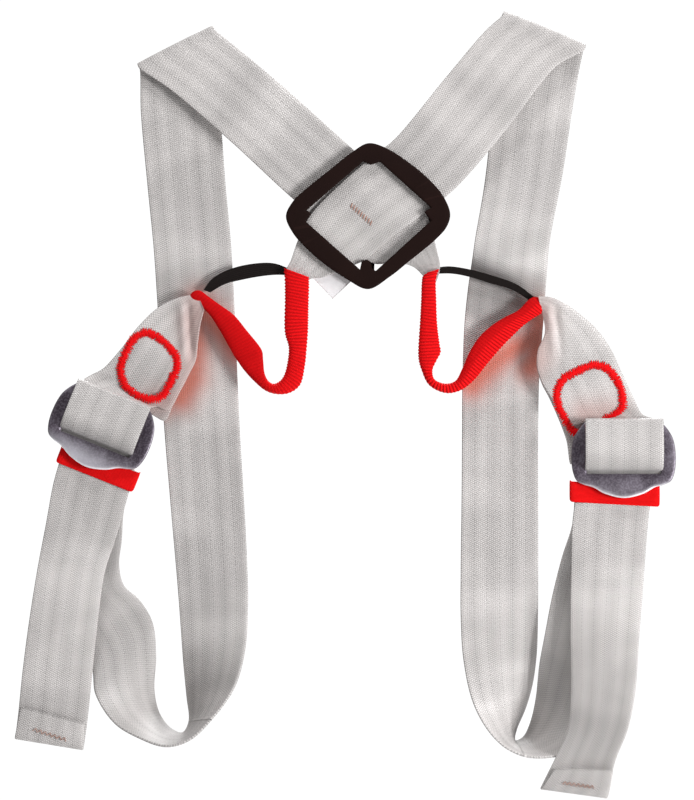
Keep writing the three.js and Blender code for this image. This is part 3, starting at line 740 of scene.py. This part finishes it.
back_outline = [
    [-44, -3.5], [-27, -4], [-4, -25], [-3.5, -41], [3.5, -41], [4, -25], [27, -4], [44, -3.5],
    [44, 3.5], [27, 4], [4, 25], [3.5, 41.5], [-3.5, 41.5], [-4, 25], [-27, 4], [-44, 3.5],
]
back = star_slab("cross_plate_back", back_outline, 2.7, 5.2)
dress(back, plate_nylon)
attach(back, "harness")
POSTS = ((-41.5, 0, 2.5), (41.5, 0, 2.5), (0, 39, 2.4), (0, -37.5, 2.8))
for number, (x, z, half) in enumerate(POSTS, 1):
    square = np.array([[-half, -half], [half, -half], [half, half], [-half, half]])
    post = star_slab(f"cross_plate_post_{number}", square, -1.6, 3.0, rounding=0.3)
    post.data.transform(Matrix.Translation((x * MM, 0, z * MM)))
    dress(post, plate_nylon)
    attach(post, "harness")


# ==== Sewing ========================================================================================
# Polyester thread: a tack of slanted stitches in the middle of the plate, a row across each hem, and
# the red satin-stitched ring that closes each side strap round its adjuster.
def thread_finish(name, light, dark):
    """Twisted thread: a fine spiral of light and dark along each stitch."""
    yarn = Finish(name)
    across, along, place = yarn.along()
    twist = ((along / 0.55 + across) * TURN).sine() * 0.5 + 0.5
    grain = yarn.noise(place, 1.3, 2.0)
    color = yarn.blend(twist * 0.5 + grain * 0.5, (*dark, 1), (*light, 1))
    return yarn.close(color, 0.55 + grain * 0.2, twist, 0.4, 0.08, Specular_IOR_Level=0.1)


def stitches(name, starts, ends, normals, radius, arch=0.35):
    """Each stitch is a round thread that leaves the cloth at its start, arches over and goes in at its
    end: the height is arch times the sine of the way along, and the section is a circle."""
    starts, ends, normals = (np.asarray(x, float) for x in (starts, ends, normals))
    rows, columns = 7, 6
    t = np.linspace(0, 1, rows)
    around = np.linspace(0, TURN, columns, endpoint=False)
    run = ends - starts
    along = run / np.linalg.norm(run, axis=1)[:, None]
    sideways = np.cross(along, normals)
    sideways /= np.linalg.norm(sideways, axis=1)[:, None]
    middle = starts[:, None] + t[None, :, None] * run[:, None]
    middle = middle + normals[:, None] * ((arch * np.sin(math.pi * t) - 0.15)[None, :, None])
    girth = radius * np.sqrt(np.clip(np.sin(math.pi * (0.06 + 0.88 * t)), 0.05, 1))
    grid = middle[:, :, None]
    grid = grid + sideways[:, None, None] * (girth[None, :, None] * np.cos(around)[None, None])[..., None]
    grid = grid + normals[:, None, None] * (girth[None, :, None] * np.sin(around)[None, None])[..., None]
    quads, caps = grid_faces(rows, columns)
    count = len(starts)
    shift = (np.arange(count) * rows * columns)[:, None, None]
    length = np.linalg.norm(run, axis=1)
    uv = np.stack(np.broadcast_arrays(
        around[None, None] / TURN, t[None, :, None] * length[:, None, None]), axis=-1)
    all_caps = [cap + k * rows * columns for k in range(count) for cap in caps]
    all_quads = (quads[None] + shift).reshape(-1, 4)
    return put_mesh(name, grid.reshape(-1, 3), all_quads, all_caps, uv.reshape(-1, 2))


brown_thread = thread_finish("brown_thread", (0.55, 0.36, 0.30), (0.22, 0.11, 0.085))
red_thread = thread_finish("red_thread", (0.88, 0.004, 0.006), (0.6, 0.001, 0.003))

tack_run = np.array([11.6, -10.4])
tack_spots = np.array([-9.8, 6.2]) + tack_run * np.linspace(0, 1, 9)[:, None]
tack_lean = np.array([0.35, 0.94])
tack_from = tack_spots - 1.7 * tack_lean
tack_to = tack_spots + 1.7 * tack_lean


def raise_flat(points, y):
    """Points of the chest plane, all at one depth."""
    return np.stack([points[:, 0], np.full(len(points), y), points[:, 1]], axis=1)


facing = np.array([0, -1.0, 0])
tack = stitches(
    "cross_tack_stitches", raise_flat(tack_from, -1.05), raise_flat(tack_to, -1.05),
    np.tile(facing, (9, 1)), 0.42)
dress(tack, brown_thread)
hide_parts("cross_tack")
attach(tack, "harness")


# ==== Side straps ===================================================================================
# The same webbing, doubled: it comes from the soft loop, goes round the adjuster's top bar and is sewn
# to itself. It is pinched where it enters the loop and opens out flat towards the adjuster.
SEWN_LOOP = 3.4
STITCH_PITCH = 0.56
STITCH_REACH = 2.45
SIDE_STRAPS = {
    "left": {
        "fold": ((-109, -49), (-107, -84)),
        "main": [
            [[-101, 0.5, -47.2], [-98.5, -2, -54]],
            [[-106, 1, -47.5], [-100.4, 2.5, -68]],
            [[-114, 1, -48.8], [-101.8, 2.2, -79]],
            [[-125, 0.9, -54.5], [-102.8, 1.2, -86.5]],
            [[-136, 0.9, -65], [-106.5, 0.9, -94]],
            [[-145.5, 0.9, -77.8], [-111.5, 0.9, -103]],
            [[-155, 1.1, -88.8], [-115.5, 1.6, -111]],
            [[-165, 2.6, -94.8], [-121.5, 4.4, -122]],
        ],
        "returned": [
            [[-164.6, -1.1, -94.4], [-126, 0.6, -113.5]],
            [[-158, -0.9, -91], [-119, 1.6, -115.5]],
            [[-147, -0.9, -79], [-111, -0.6, -103]],
            [[-137, -0.9, -66], [-105.4, -0.9, -92]],
            [[-125, -0.9, -54.5], [-102.4, -1.2, -85.8]],
            [[-114, -1.2, -49], [-101, -3.2, -75]],
            [[-106.5, -1.4, -47.2], [-99.6, -4.2, -65]],
            [[-101, -1.2, -46.6], [-97.5, -4.2, -56]],
        ],
        "box": [
            [-131.8, -69.3], [-139, -73], [-144, -82], [-147.3, -89.5], [-146, -97.5], [-140.5, -104.5],
            [-131, -109], [-122.5, -107.5], [-117.8, -99.5], [-113.6, -91], [-114.2, -83.5],
            [-122, -74.5],
        ],
    },
    "right": {
        "fold": ((109, -52), (113, -84)),
        "main": [
            [[101.5, 0.5, -48.2], [103, -2, -55]],
            [[108.6, 1, -48.5], [105.2, 1, -64]],
            [[116, 1, -51.5], [105, 1, -71]],
            [[126, 0.9, -58.5], [101, 0.9, -80]],
            [[136.5, 0.9, -67.8], [100.6, 0.9, -90]],
            [[144, 0.9, -78], [103.5, 0.9, -100]],
            [[151, 1.1, -92.5], [108.2, 1.1, -109]],
            [[159.6, 3.4, -111.5], [118.2, 5.0, -133]],
            [[163, 4.4, -118], [121.2, 6.6, -148]],
        ],
        "returned": [
            [[163.6, -1.4, -118.4], [127.5, 1.0, -122.6]],
            [[158.6, -1.0, -109.5], [118.2, 2.0, -125.5]],
            [[150.8, -0.9, -92.5], [109.2, -0.7, -108.8]],
            [[144, -0.9, -78.5], [103.3, -0.9, -99]],
            [[136.5, -1.1, -67.8], [100.6, -1.1, -90]],
            [[126, -2.2, -58.3], [101, -1.1, -80]],
            [[116, -3.4, -51.5], [105, -1.4, -71]],
            [[108.6, -3.6, -48.3], [105, -1.4, -64.5]],
            [[101.5, -3.4, -48], [103.2, -1.2, -56]],
        ],
        "box": [
            [134.5, -88.6], [124.4, -92.6], [115.9, -97.5], [112.2, -104.5], [112.6, -110.5],
            [116.8, -120], [122.5, -128.5], [131, -127.5], [142, -121], [150.3, -115.5], [151.5, -107],
            [147, -96], [141, -90],
        ],
    },
}


def sink(points):
    """The stitches lie on the front layer, and drop back with it below the level of the wrap."""
    y = -1.95 + 3.4 * np.clip((-113.5 - points[:, 1]) / 12, 0, 1) * (points[:, 0] > 0)
    return np.stack([points[:, 0], y, points[:, 1]], axis=1)


for name, strap in SIDE_STRAPS.items():
    side = SIDES[name]
    outer = -side["inward"] * (HALF_WEB - 0.5)
    loop = []
    for a in np.radians([180, 225, 270, 315, 360]):
        v, w = SEWN_LOOP * math.sin(a), SEWN_LOOP * math.cos(a)
        loop.append([from_adjuster(side, u, v, w).tolist() for u in (outer, -outer)])
    grid, distance, starts = band_grid(
        strap["main"] + loop + strap["returned"], WEB_THICK, (profile_s, profile_h), pitch=1.3)

    # A crease runs from the soft loop along the fold line: a ridge beside a groove, over 6 mm at its
    # start and fading out past its end.
    start, stop = (np.array(end, float) for end in strap["fold"])
    run = (stop - start) / np.linalg.norm(stop - start)
    ahead = (grid[..., 0] - start[0]) * run[0] + (grid[..., 2] - start[1]) * run[1]
    aside = (grid[..., 0] - start[0]) * run[1] - (grid[..., 2] - start[1]) * run[0]
    reach = np.clip(ahead / 6, 0, 1) * np.clip((np.linalg.norm(stop - start) - ahead) / 12 + 0.5, 0, 1)
    crease = 1.5 * np.exp(-(((aside + 1.8) / 2.0) ** 2)) - 1.5 * np.exp(-(((aside - 2.2) / 2.4) ** 2))
    grid[..., 1] += crease * reach * (grid[..., 1] < 0.2)
    piece = band_piece(f"{name}_side_webbing", grid, distance, profile_s)
    dress(piece, webbing)
    # A weaker painted red reflection near the red pieces.
    paint_values(piece, "painted_red_reflection", 0.3 * red_reflection_near(grid))
    distance[-1] * MM
    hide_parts(f"{name}_side_strap")
    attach(piece, "harness")

    # Satin stitches one beside the other across a closed line, leaning to either side in turn.
    line = closed_curve(strap["box"], per_leg=16)
    lengths = np.linalg.norm(np.roll(line, -1, axis=0) - line, axis=1)
    total = lengths.sum()
    count = int(total / STITCH_PITCH)
    place = (np.arange(count) + 0.5) / count * total
    travelled = np.concatenate([[0], np.cumsum(lengths)])
    closed = np.vstack([line, line[:1]])
    spot, ahead = (
        np.stack([np.interp(at % total, travelled, closed[:, k]) for k in range(2)], axis=1)
        for at in (place, place + 0.5))
    along = ahead - spot
    along /= np.linalg.norm(along, axis=1)[:, None]
    outward = np.stack([along[:, 1], -along[:, 0]], axis=1)
    jitter = np.random.default_rng(7).normal(0, 1, (count, 3))
    lean = np.where(np.arange(count) % 2, 0.18, -0.18)[:, None] + 0.08 * jitter[:, :1]
    reach_out = STITCH_REACH + 0.42 * jitter[:, 1:2]
    reach_in = STITCH_REACH + 0.42 * jitter[:, 2:3]
    starts_at = spot + outward * reach_out + along * lean * 2
    ends_at = spot - outward * reach_in - along * lean * 2
    ring_stitches = stitches(
        f"{name}_box_stitching", sink(starts_at), sink(ends_at), np.tile(facing, (count, 1)), 0.46,
        arch=0.5)
    dress(ring_stitches, red_thread)
    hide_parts(f"{name}_box_stitch")
    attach(ring_stitches, "harness")


# ==== Adjusters =====================================================================================
# A stamped steel frame on each side, with a bright satin finish, whose lower lip is bent to the front
# so the webbing can be slackened with a finger, and a loose sliding bar held in the webbing's turn.
FRAME_SLANT = math.radians(10)
frame_half = [
    [20, 1.7], [24.5, -2], [29.3, -9.5], [31, -19.5], [30.2, -30], [27.8, -35.5], [24, -37.6],
    [18.5, -39.2], [11.5, -43], [0, -45.6],
]
frame_outline = frame_half + [[-u, v] for u, v in frame_half[-2::-1]]
window = []
for u, v, start in ((21.1, -2.7, 0), (-21.1, -2.7, 90), (-21.1, -30.3, 180), (21.1, -30.3, 270)):
    for angle in np.radians(np.linspace(start, start + 90, 6)):
        window.append([u + math.cos(angle), v + math.sin(angle)])


def open_curve(points, per_leg=12):
    """A smooth curve from the first point to the last."""
    points = np.asarray(points, float)
    legs = np.repeat(np.arange(len(points) - 1), per_leg)
    fractions = np.tile(np.arange(per_leg) / per_leg, len(points) - 1)
    return np.vstack([smooth_curve(points, legs, fractions), points[-1:]])


def steel_finish():
    """Satin steel with a faint violet cast: fine sparkling grain, and darker smears from handling, with a
    painted highlight along the lower rim and a painted reflection over the bent lip.
    """
    steel = Finish("satin_steel")
    place = steel.place()
    grain = steel.noise(place, 3200.0, 2.0)
    sparkle = steel.node(
        "ShaderNodeTexVoronoi", {}, {"Vector": place, "Scale": 1500.0, "Randomness": 1.0}, 0)
    smear = steel.noise(place, 90.0, 3.0).between(0.36, 0.66)
    fleck = steel.noise(place, 900.0, 1.0).between(0.42, 0.62)
    glint = 1 - sparkle.between(0.1, 0.32)
    # Painted light from two stored numbers: a painted highlight along the lower rim, and a painted
    # reflection over the bent lip.
    rim = steel.painted("rim")
    shade = smear * 0.3 + fleck * 0.34 + grain * 0.1 + glint * 0.2
    lip_reflection = steel.painted("lip_reflection")
    worn = steel.blend(shade, (0.055, 0.040, 0.058, 1), (0.27, 0.24, 0.29, 1))
    bright = steel.blend(lip_reflection * (0.75 + glint * 0.25), worn, (0.74, 0.725, 0.80, 1))
    color = steel.blend(rim * 0.9, bright, (0.93, 0.93, 0.98, 1))
    rough = 0.3 + grain * 0.16 + smear * 0.1
    return steel.close(color, rough, grain * 0.6 + glint * 0.5, 0.25, 0.08, Metallic=0.55)


satin_steel = steel_finish()


def bar_grid(half_length, tall, thick, steps=24):
    """A bar with a rounded section and rounded ends: the section shrinks over the last millimetre as
    the cosine of an angle that goes to a right angle at the end."""
    angle = np.linspace(0, TURN, steps, endpoint=False)
    section_v = (tall - thick) / 2 * np.sign(np.sin(angle)) * np.minimum(1, np.abs(np.sin(angle)) * 3)
    section_v = section_v + thick / 2 * np.sin(angle)
    section_w = thick / 2 * np.cos(angle)
    end = np.radians(np.linspace(80, 0, 5))
    u = np.concatenate([-half_length + 1 - np.sin(end), half_length - 1 + np.sin(end[::-1])])
    scale = np.concatenate([0.55 + 0.45 * np.cos(end), 0.55 + 0.45 * np.cos(end[::-1])])
    return u, section_v, section_w, scale


def frame_place(side, u, v, h):
    """Leans the frame forward about its top bar, and bends the lower lip a little further."""
    lip = np.clip((-v - 30) / 16, 0, 1)
    tilt_v = v * math.cos(FRAME_SLANT) + h * math.sin(FRAME_SLANT)
    tilt_w = -v * math.sin(FRAME_SLANT) + h * math.cos(FRAME_SLANT) + 1.2 * lip**2
    return from_adjuster(side, u, tilt_v, tilt_w)


# How strong each frame's painted lip reflection is: strong on the left, faint on the right.
LIP_REFLECTION = {"left": 0.85, "right": 0.12}
for name, side in SIDES.items():
    frame_piece, grid, rim = ring_piece(
        f"{name}_steel_frame", open_curve(frame_outline), window, 2.6, partial(frame_place, side),
        count=900, centre=(0, -18), share=0.3)
    away = grid - side["bar"]
    c, s = math.cos(side["turn"]), math.sin(side["turn"])
    drop = -(away[..., 0] * s + away[..., 2] * c)
    shift = away[..., 0] * c - away[..., 2] * s
    # Low on the lip the frame gets a painted reflection, and its edges a painted highlight that is
    # strongest along the lower rim.
    lip_reflection = np.clip((drop - 31) / 9, 0, 1) * np.clip((26 - shift) / 30, 0.3, 1)
    paint_values(frame_piece, "rim", rim * np.clip((drop - 34.5) / 5, 0.06, 1))
    paint_values(frame_piece, "lip_reflection", lip_reflection * LIP_REFLECTION[name])
    dress(frame_piece, satin_steel)
    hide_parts(f"{name}_adjuster_frame")
    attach(frame_piece, f"{name}_adjuster")

    u, section_v, section_w, scale = bar_grid(22.8, 9, 2.4)
    shrink = scale[:, None]
    points = from_adjuster(side, u[:, None], -4 + shrink * section_v, 7.6 + shrink * section_w)
    quads, caps = grid_faces(*points.shape[:2])
    uv = points.reshape(-1, 3)[:, [0, 2]]
    bar = put_mesh(f"{name}_sliding_bar", points.reshape(-1, 3), quads, caps, uv)
    dress(bar, satin_steel)
    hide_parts(f"{name}_adjuster_bar")
    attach(bar, f"{name}_bar")


# ==== Keepers =======================================================================================
# A woven red elastic band round both layers of webbing, just under each adjuster's lip.
def red_finish(name, light, dark, rib):
    """Red woven ribs: a painted highlight on the crest of each rib and painted shade between, with a soft
    uneven dye; where the ribs stand low the colour comes out darker, a painted shade.
    """
    cloth = Finish(name)
    across, along, place = cloth.along()
    stand = cloth.painted("ribbing")
    # Rib crests are painted light and the hollows between them painted dark; where ribs stand low the
    # colour stays dark, a painted shade.
    ribs = (((along / rib) * TURN).sine() * 0.5 + 0.5) * (stand * 0.9 + 0.1)
    yarns = ((across / 0.8 + (along / rib).floor() * 0.5) * TURN).sine() * 0.5 + 0.5
    dye = cloth.noise(place, 0.12, 3.0)
    fuzz = cloth.noise(place, 1.6, 2.0)
    shade = ribs * 0.75 + yarns * 0.12 + dye * 0.3 + fuzz * 0.16 - 0.06
    color = cloth.blend(shade, (*dark, 1), (*light, 1))
    return cloth.close(
        color, 0.62 + fuzz * 0.2 - ribs * 0.08, ribs * 0.8 + yarns * 0.35 + fuzz * 0.2, 0.7, 0.3,
        Specular_IOR_Level=0.08)


def swollen(x, power):
    """The number raised to a power with its sign kept. A power below one makes a curve fuller."""
    return np.sign(x) * np.abs(x) ** power


# The middle of each band along the bar, half its length, and how far it leans.
KEEPERS = {"left": (6.6, 24.3, 0.0), "right": (-5.2, 26.4, -0.055)}
KEEPER_TOP = -37
KEEPER_HALF_TALL = 6.1
keeper_red = red_finish("keeper_red", (0.86, 0.005, 0.006), (0.55, 0.001, 0.002), 0.7)
for name, side in SIDES.items():
    middle_u, half_u, lean = KEEPERS[name]
    angle = np.linspace(0, TURN, 160, endpoint=False)
    path_u = middle_u + half_u * swollen(np.cos(angle), 0.12)
    path_w = 2.2 + 2.45 * swollen(np.sin(angle), 0.35)
    turn = np.linspace(0, TURN, 20, endpoint=False)
    offset_v = KEEPER_TOP - KEEPER_HALF_TALL + KEEPER_HALF_TALL * swollen(np.cos(turn), 0.5)
    thick = 0.4 * swollen(np.sin(turn), 0.7)
    out_u = np.cos(angle) * np.abs(np.cos(angle)) ** 6
    du = path_u[:, None] + out_u[:, None] * thick[None]
    dw = path_w[:, None] + np.sin(angle)[:, None] * thick[None]
    dv = offset_v[None] * (1 - 0.02 * np.abs(np.cos(angle[:, None])) ** 8) + lean * path_u[:, None]
    grid = from_adjuster(side, du, dv, dw)
    quads, caps = grid_faces(*du.shape, close_rows=True)
    steps = np.linalg.norm(np.diff(np.stack([path_u, path_w], 1), axis=0), axis=1)
    along_path = np.concatenate([[0], np.cumsum(steps)])
    uv = np.stack([np.broadcast_to(along_path[:, None], du.shape), dv], axis=-1)
    keeper = put_mesh(f"{name}_keeper_band", grid.reshape(-1, 3), quads, caps, uv.reshape(-1, 2))
    paint_values(keeper, "ribbing", np.ones(du.shape))
    dress(keeper, keeper_red)
    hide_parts(f"{name}_keeper")
    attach(keeper, f"{name}_keeper_band")


# ==== Hem stitching =================================================================================
# A zigzag row through the turned hem of each tail, set in from both selvedges.
HEM_ROWS = {
    "left": ([-197.6, -303.6], [-178.0, -310.1], -17.9, -16.4),
    "right": ([114.3, -334.5], [132.7, -336.9], -23.2, -25.6),
}
count = 15
for name, (first, last, first_y, last_y) in HEM_ROWS.items():
    t = np.linspace(0, 1, count)[:, None]
    line = np.array(first) + t * (np.array(last) - first)
    run = (np.array(last) - first) / np.linalg.norm(np.subtract(last, first))
    up = np.array([-run[1], run[0]])
    lift = np.where(np.arange(count) % 2, 1.15, -1.15)[:, None] * up
    spots = line + lift
    depth = first_y + t[:, 0] * (last_y - first_y) - 0.85
    corners = np.stack([spots[:, 0], depth, spots[:, 1]], axis=1)
    hem = stitches(
        f"{name}_hem_stitching", corners[:-1], corners[1:], np.tile(facing, (count - 1, 1)), 0.27, 0.2)
    dress(hem, brown_thread)
    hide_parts(f"{name}_hem_stitch")
    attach(hem, f"{name}_tail_end")


# ==== Soft loops ====================================================================================
# The end of each webbing, folded narrow and drawn through a ribbed red sleeve. It is the harness's
# attachment point, and flattens on edge through its lower bend.
# Stations: first edge and second edge in the plane of the chest, and the depth there.
LOOPS = {
    "left": [
        ([-49.9, -31], [-35.2, -36.4], 4.6), ([-49.5, -38.5], [-35.1, -41], 5.2),
        ([-49.4, -50], [-35.4, -53], 5.2),
        ([-49.4, -69.6], [-35.7, -67.9], 5.2), ([-47.2, -78], [-36.5, -79], 6),
        ([-47.6, -85.1], [-37.5, -88.7], 7), ([-50, -94.9], [-40.5, -100.6], 8.5),
        ([-53, -98.6], [-46.5, -105.2], 9.5), ([-56.2, -99.8], [-53.5, -106.1], 9.5),
        ([-59.2, -98.2], [-60.5, -104.2], 8.5), ([-61.4, -94], [-68.5, -97.6], 7),
        ([-62.3, -86.5], [-74.5, -90.8], 5.5), ([-62.9, -80.6], [-77, -87.2], 5.2),
        ([-64.8, -77.2], [-79.6, -83.4], 5.2),
        ([-72, -68.3], [-84, -75.5], 5.2), ([-79.8, -58.9], [-89.6, -65.8], 5.2),
        ([-88.7, -52.4], [-95, -58], 5), ([-95.5, -47.5], [-100.6, -53], 4.6),
        ([-99.8, -44.4], [-104.9, -49.7], 4.2), ([-102.6, -44.4], [-106, -48.2], 3.4),
        ([-104.4, -45.4], [-106.1, -47.2], 2),
    ],
    "right": [
        ([42.5, -31.6], [35.5, -33.6], 4), ([41.3, -34], [32.6, -36], 5), ([40.4, -39], [32, -39.4], 5.2),
        ([40.6, -50], [31.6, -50], 5.2),
        ([41.1, -63.7], [31, -61.9], 5.2), ([42.6, -76.5], [30, -77.5], 5.4),
        ([43.2, -81], [29.9, -82], 5.4), ([40.9, -85.8], [30.2, -86], 6.2),
        ([38.4, -91.6], [31.6, -91], 8),
        ([39.5, -97], [36.3, -100.6], 9.5), ([45.8, -99.7], [46.4, -105.4], 9.5),
        ([51.8, -98.2], [55.4, -103.6], 8.5), ([56, -91], [63.7, -97], 6.4),
        ([60.6, -80.6], [70.5, -88.5], 5.4), ([66.2, -72], [77.4, -80.4], 5.2),
        ([73, -65.6], [85, -72.4], 5.2), ([81, -60.4], [92.9, -64.9], 5.2),
        ([89.5, -56], [98.5, -60.8], 5), ([95.4, -50], [104, -57.3], 4.6),
        ([98.6, -48.2], [105.6, -54.6], 3.4), ([101.6, -48.4], [105.6, -52], 2),
    ],
}
# A point of the line through each loop's sewn ends, and the way down from it, square to that line.
LOOP_HINGES = {
    "left": ([-69.4, -1, -46.7], [0.267, 0, -0.964]),
    "right": ([65.25, -1, -48.7], [-0.329, 0, -0.944]),
}
SLEEVE_RIB = 1.9
sleeve_red = red_finish("sleeve_red", (0.84, 0.004, 0.006), (0.34, 0.0, 0.001), SLEEVE_RIB)


def oval_profile(columns=36, power=0.8):
    """The outline of a soft flattened tube: s and h are the cosine and the sine of an angle, raised to
    a power below one, so the sides are fuller than an ellipse's."""
    angle = np.linspace(0, 2 * math.pi, columns, endpoint=False)
    return 0.5 - 0.5 * swollen(np.cos(angle), power), 0.5 * swollen(np.sin(angle), power)


oval_s, oval_h = oval_profile()


def smooth_step(x, low, high):
    """0 below low, 1 above high, and a smooth cubic rise between them."""
    t = np.clip((x - low) / (high - low), 0, 1)
    return t**2 * (3 - 2 * t)


def ribbing(name, distance, s):
    """How strongly the ribs stand up, from 0 to 1: the left sleeve is turned to its plain side past the
    lower bend, and the right one shows ribs on its outer half there, with a smooth step between. The
    finish also paints the flatter faces darker from it, a painted shade."""
    if name == "left":
        return 1 - 0.92 * smooth_step(distance, 78, 88) + 0 * s
    return 1 - 0.9 * smooth_step(distance, 72, 92) * (1 - smooth_step(s, 0.38, 0.55))


for name, stations in LOOPS.items():
    edges = [flat(-1, first, second) for first, second, _ in stations]
    depths = [depth for _, _, depth in stations]
    grid, distance, _ = band_grid(edges, depths, (oval_s, oval_h), pitch=0.25)
    middle = grid.mean(axis=1, keepdims=True)
    strength = ribbing(name, distance[:, None], oval_s[None])
    ribs = 1 + 0.034 * strength * np.cos(distance / SLEEVE_RIB * TURN)[:, None]
    grid = middle + (grid - middle) * ribs[..., None]
    sleeve = band_piece(f"{name}_red_sleeve", grid, distance, oval_s, width=15)
    paint_values(sleeve, "ribbing", strength)
    dress(sleeve, sleeve_red)
    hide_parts(f"{name}_loop_sleeve", f"{name}_loop_core")
    hinge, down = LOOP_HINGES[name]
    above = Vector(np.array(hinge) - 5 * np.array(down)) * MM
    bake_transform(sleeve)


# ==== Loop elastics =================================================================================
# A flat black elastic from each gathered end to the outer end of its loop, which keeps the loop small.
ELASTICS = {
    "left": (
        [[-98.2, -44], [-92.6, -36.9], [-81, -31], [-66.7, -28], [-56, -28], [-46, -31.5]],
        [[-94, -45.4], [-85.6, -40.6], [-74, -37.6], [-64, -35.8], [-55, -34.9], [-44.5, -35.2]]),
    "right": (
        [[40.5, -30.6], [48.2, -29.8], [60.1, -31.5], [75.6, -35.7], [88.7, -40.5], [99, -48]],
        [[40.9, -34.2], [50, -34.2], [60, -36], [74, -40.2], [86, -43.8], [96, -50]]),
}


def elastic_finish():
    """Black knitted elastic with lengthways cords, and a brown-grey bloom on their crests."""
    knit = Finish("black_elastic")
    across, along, place = knit.along()
    cords = ((across / 0.9) * TURN).sine() * 0.5 + 0.5
    loops = ((along / 0.6) * TURN).sine() * 0.5 + 0.5
    fuzz = knit.noise(place, 1.4, 2.0)
    shade = cords * 0.4 + fuzz * 0.4 + loops * 0.1
    color = knit.blend(shade, (0.0015, 0.0012, 0.0012, 1), (0.016, 0.011, 0.010, 1))
    return knit.close(
        color, 0.75 + fuzz * 0.15, cords * 0.8 + loops * 0.3, 0.6, 0.2, Specular_IOR_Level=0.12)


black_elastic = elastic_finish()
for name, (top, bottom) in ELASTICS.items():
    edges = [flat(3, a, b) for a, b in zip(top, bottom)]
    grid, distance, _ = band_grid(edges, 1.2, (profile_s, profile_h), pitch=1.0)
    elastic = band_piece(f"{name}_black_elastic", grid, distance, profile_s, width=6.5)
    dress(elastic, black_elastic)
    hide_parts(f"{name}_loop_elastic")
    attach(elastic, "harness")


# ==== Label =========================================================================================
# A smooth blank woven label, sewn in under the right webbing where it is gathered.
def label_finish():
    """Close white satin weave with a faint warm shade towards its folds."""
    satin = Finish("label_satin")
    across, along, place = satin.along()
    picks = ((along / 0.35) * TURN).sine() * 0.5 + 0.5
    cloud = satin.noise(place, 0.2, 2.0)
    color = satin.blend(cloud * 0.7 + picks * 0.2, (0.66, 0.63, 0.65, 1), (0.93, 0.92, 0.93, 1))
    return satin.close(color, 0.5 - cloud * 0.1, picks, 0.25, 0.04, Sheen_Weight=0.2, Sheen_Roughness=0.4)


label_rows = [
    [[-34.2, 1.2, -35.4], [-22.4, 1.2, -24.6]],
    [[-30, 1.0, -39.8], [-18.4, 1.3, -28.8]],
    [[-25.5, 0.6, -44.4], [-14, 1.2, -33.4]],
    [[-21.1, 0.2, -49.2], [-9.4, 1.0, -38.2]],
]
grid, distance, _ = band_grid(label_rows, 0.5, (profile_s, profile_h), pitch=0.8)
label = band_piece("blank_white_label", grid, distance, profile_s, width=16)
dress(label, label_finish())
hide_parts("blank_label")
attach(label, "harness")


# ==== Studio ========================================================================================
# A pale floor well below the hanging harness, a white surround and four soft lights.
floor_mesh = bpy.data.meshes.new("pale_floor")
floor_half, floor_level = 2.4, -0.8
corners = [(x * floor_half, y * floor_half, floor_level) for x, y in ((-1, -1), (1, -1), (1, 1), (-1, 1))]
floor_mesh.from_pydata(corners, [], [(0, 1, 2, 3)])
floor = bpy.data.objects.new("pale_floor", floor_mesh)
bpy.context.scene.collection.objects.link(floor)
paint = Finish("pale_floor_paint")
spot = paint.place()
tone = paint.noise(spot, 3.0)
floor_mesh.materials.append(paint.close(
    paint.blend(tone, (0.80, 0.80, 0.80, 1), (0.84, 0.84, 0.84, 1)), 0.7 + tone * 0.1, tone, 0.05, 0.1))
floor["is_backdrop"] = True

# The camera sees the surround as plain white, and the harness gets only a faint fill from it.
world = bpy.data.worlds.new("white_surround")
world.use_nodes = True
bpy.context.scene.world = world
nodes, links = world.node_tree.nodes, world.node_tree.links
nodes.clear()
path = nodes.new("ShaderNodeLightPath")
mix = nodes.new("ShaderNodeMixShader")
out = nodes.new("ShaderNodeOutputWorld")
for socket, color, strength in ((1, (1.0, 0.99, 0.985, 1), 0.22), (2, (1, 1, 1, 1), 1.05)):
    glow = nodes.new("ShaderNodeBackground")
    glow.inputs["Color"].default_value = color
    glow.inputs["Strength"].default_value = strength
    links.new(glow.outputs["Background"], mix.inputs[socket])
links.new(path.outputs["Is Camera Ray"], mix.inputs["Fac"])
links.new(mix.outputs["Shader"], out.inputs["Surface"])

for name, place, aim, size, power in (
        ("key_softbox", (1.15, -0.9, -0.15), VIEW_MIDDLE, 0.4, 21.0),
        ("fill_softbox", (-0.25, -0.75, 1.5), VIEW_MIDDLE, 0.3, 13.0),
        ("rear_softbox", (0.2, 1.3, 0.8), VIEW_MIDDLE, 1.0, 17.0),
        ("top_softbox", (0.0, 0.25, 1.7), Vector((0, 0.2, floor_level)), 2.2, 30.0)):
    light = bpy.data.lights.new(name, "AREA")
    light.size = size
    light.energy = power
    lamp = bpy.data.objects.new(name, light)
    lamp.location = place
    lamp.rotation_mode = "QUATERNION"
    lamp.rotation_quaternion = (aim - Vector(place)).to_track_quat("-Z", "Y")
    bpy.context.scene.collection.objects.link(lamp)

bpy.context.scene.view_settings.view_transform = "Standard"

bpy.context.view_layer.update()
low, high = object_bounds()
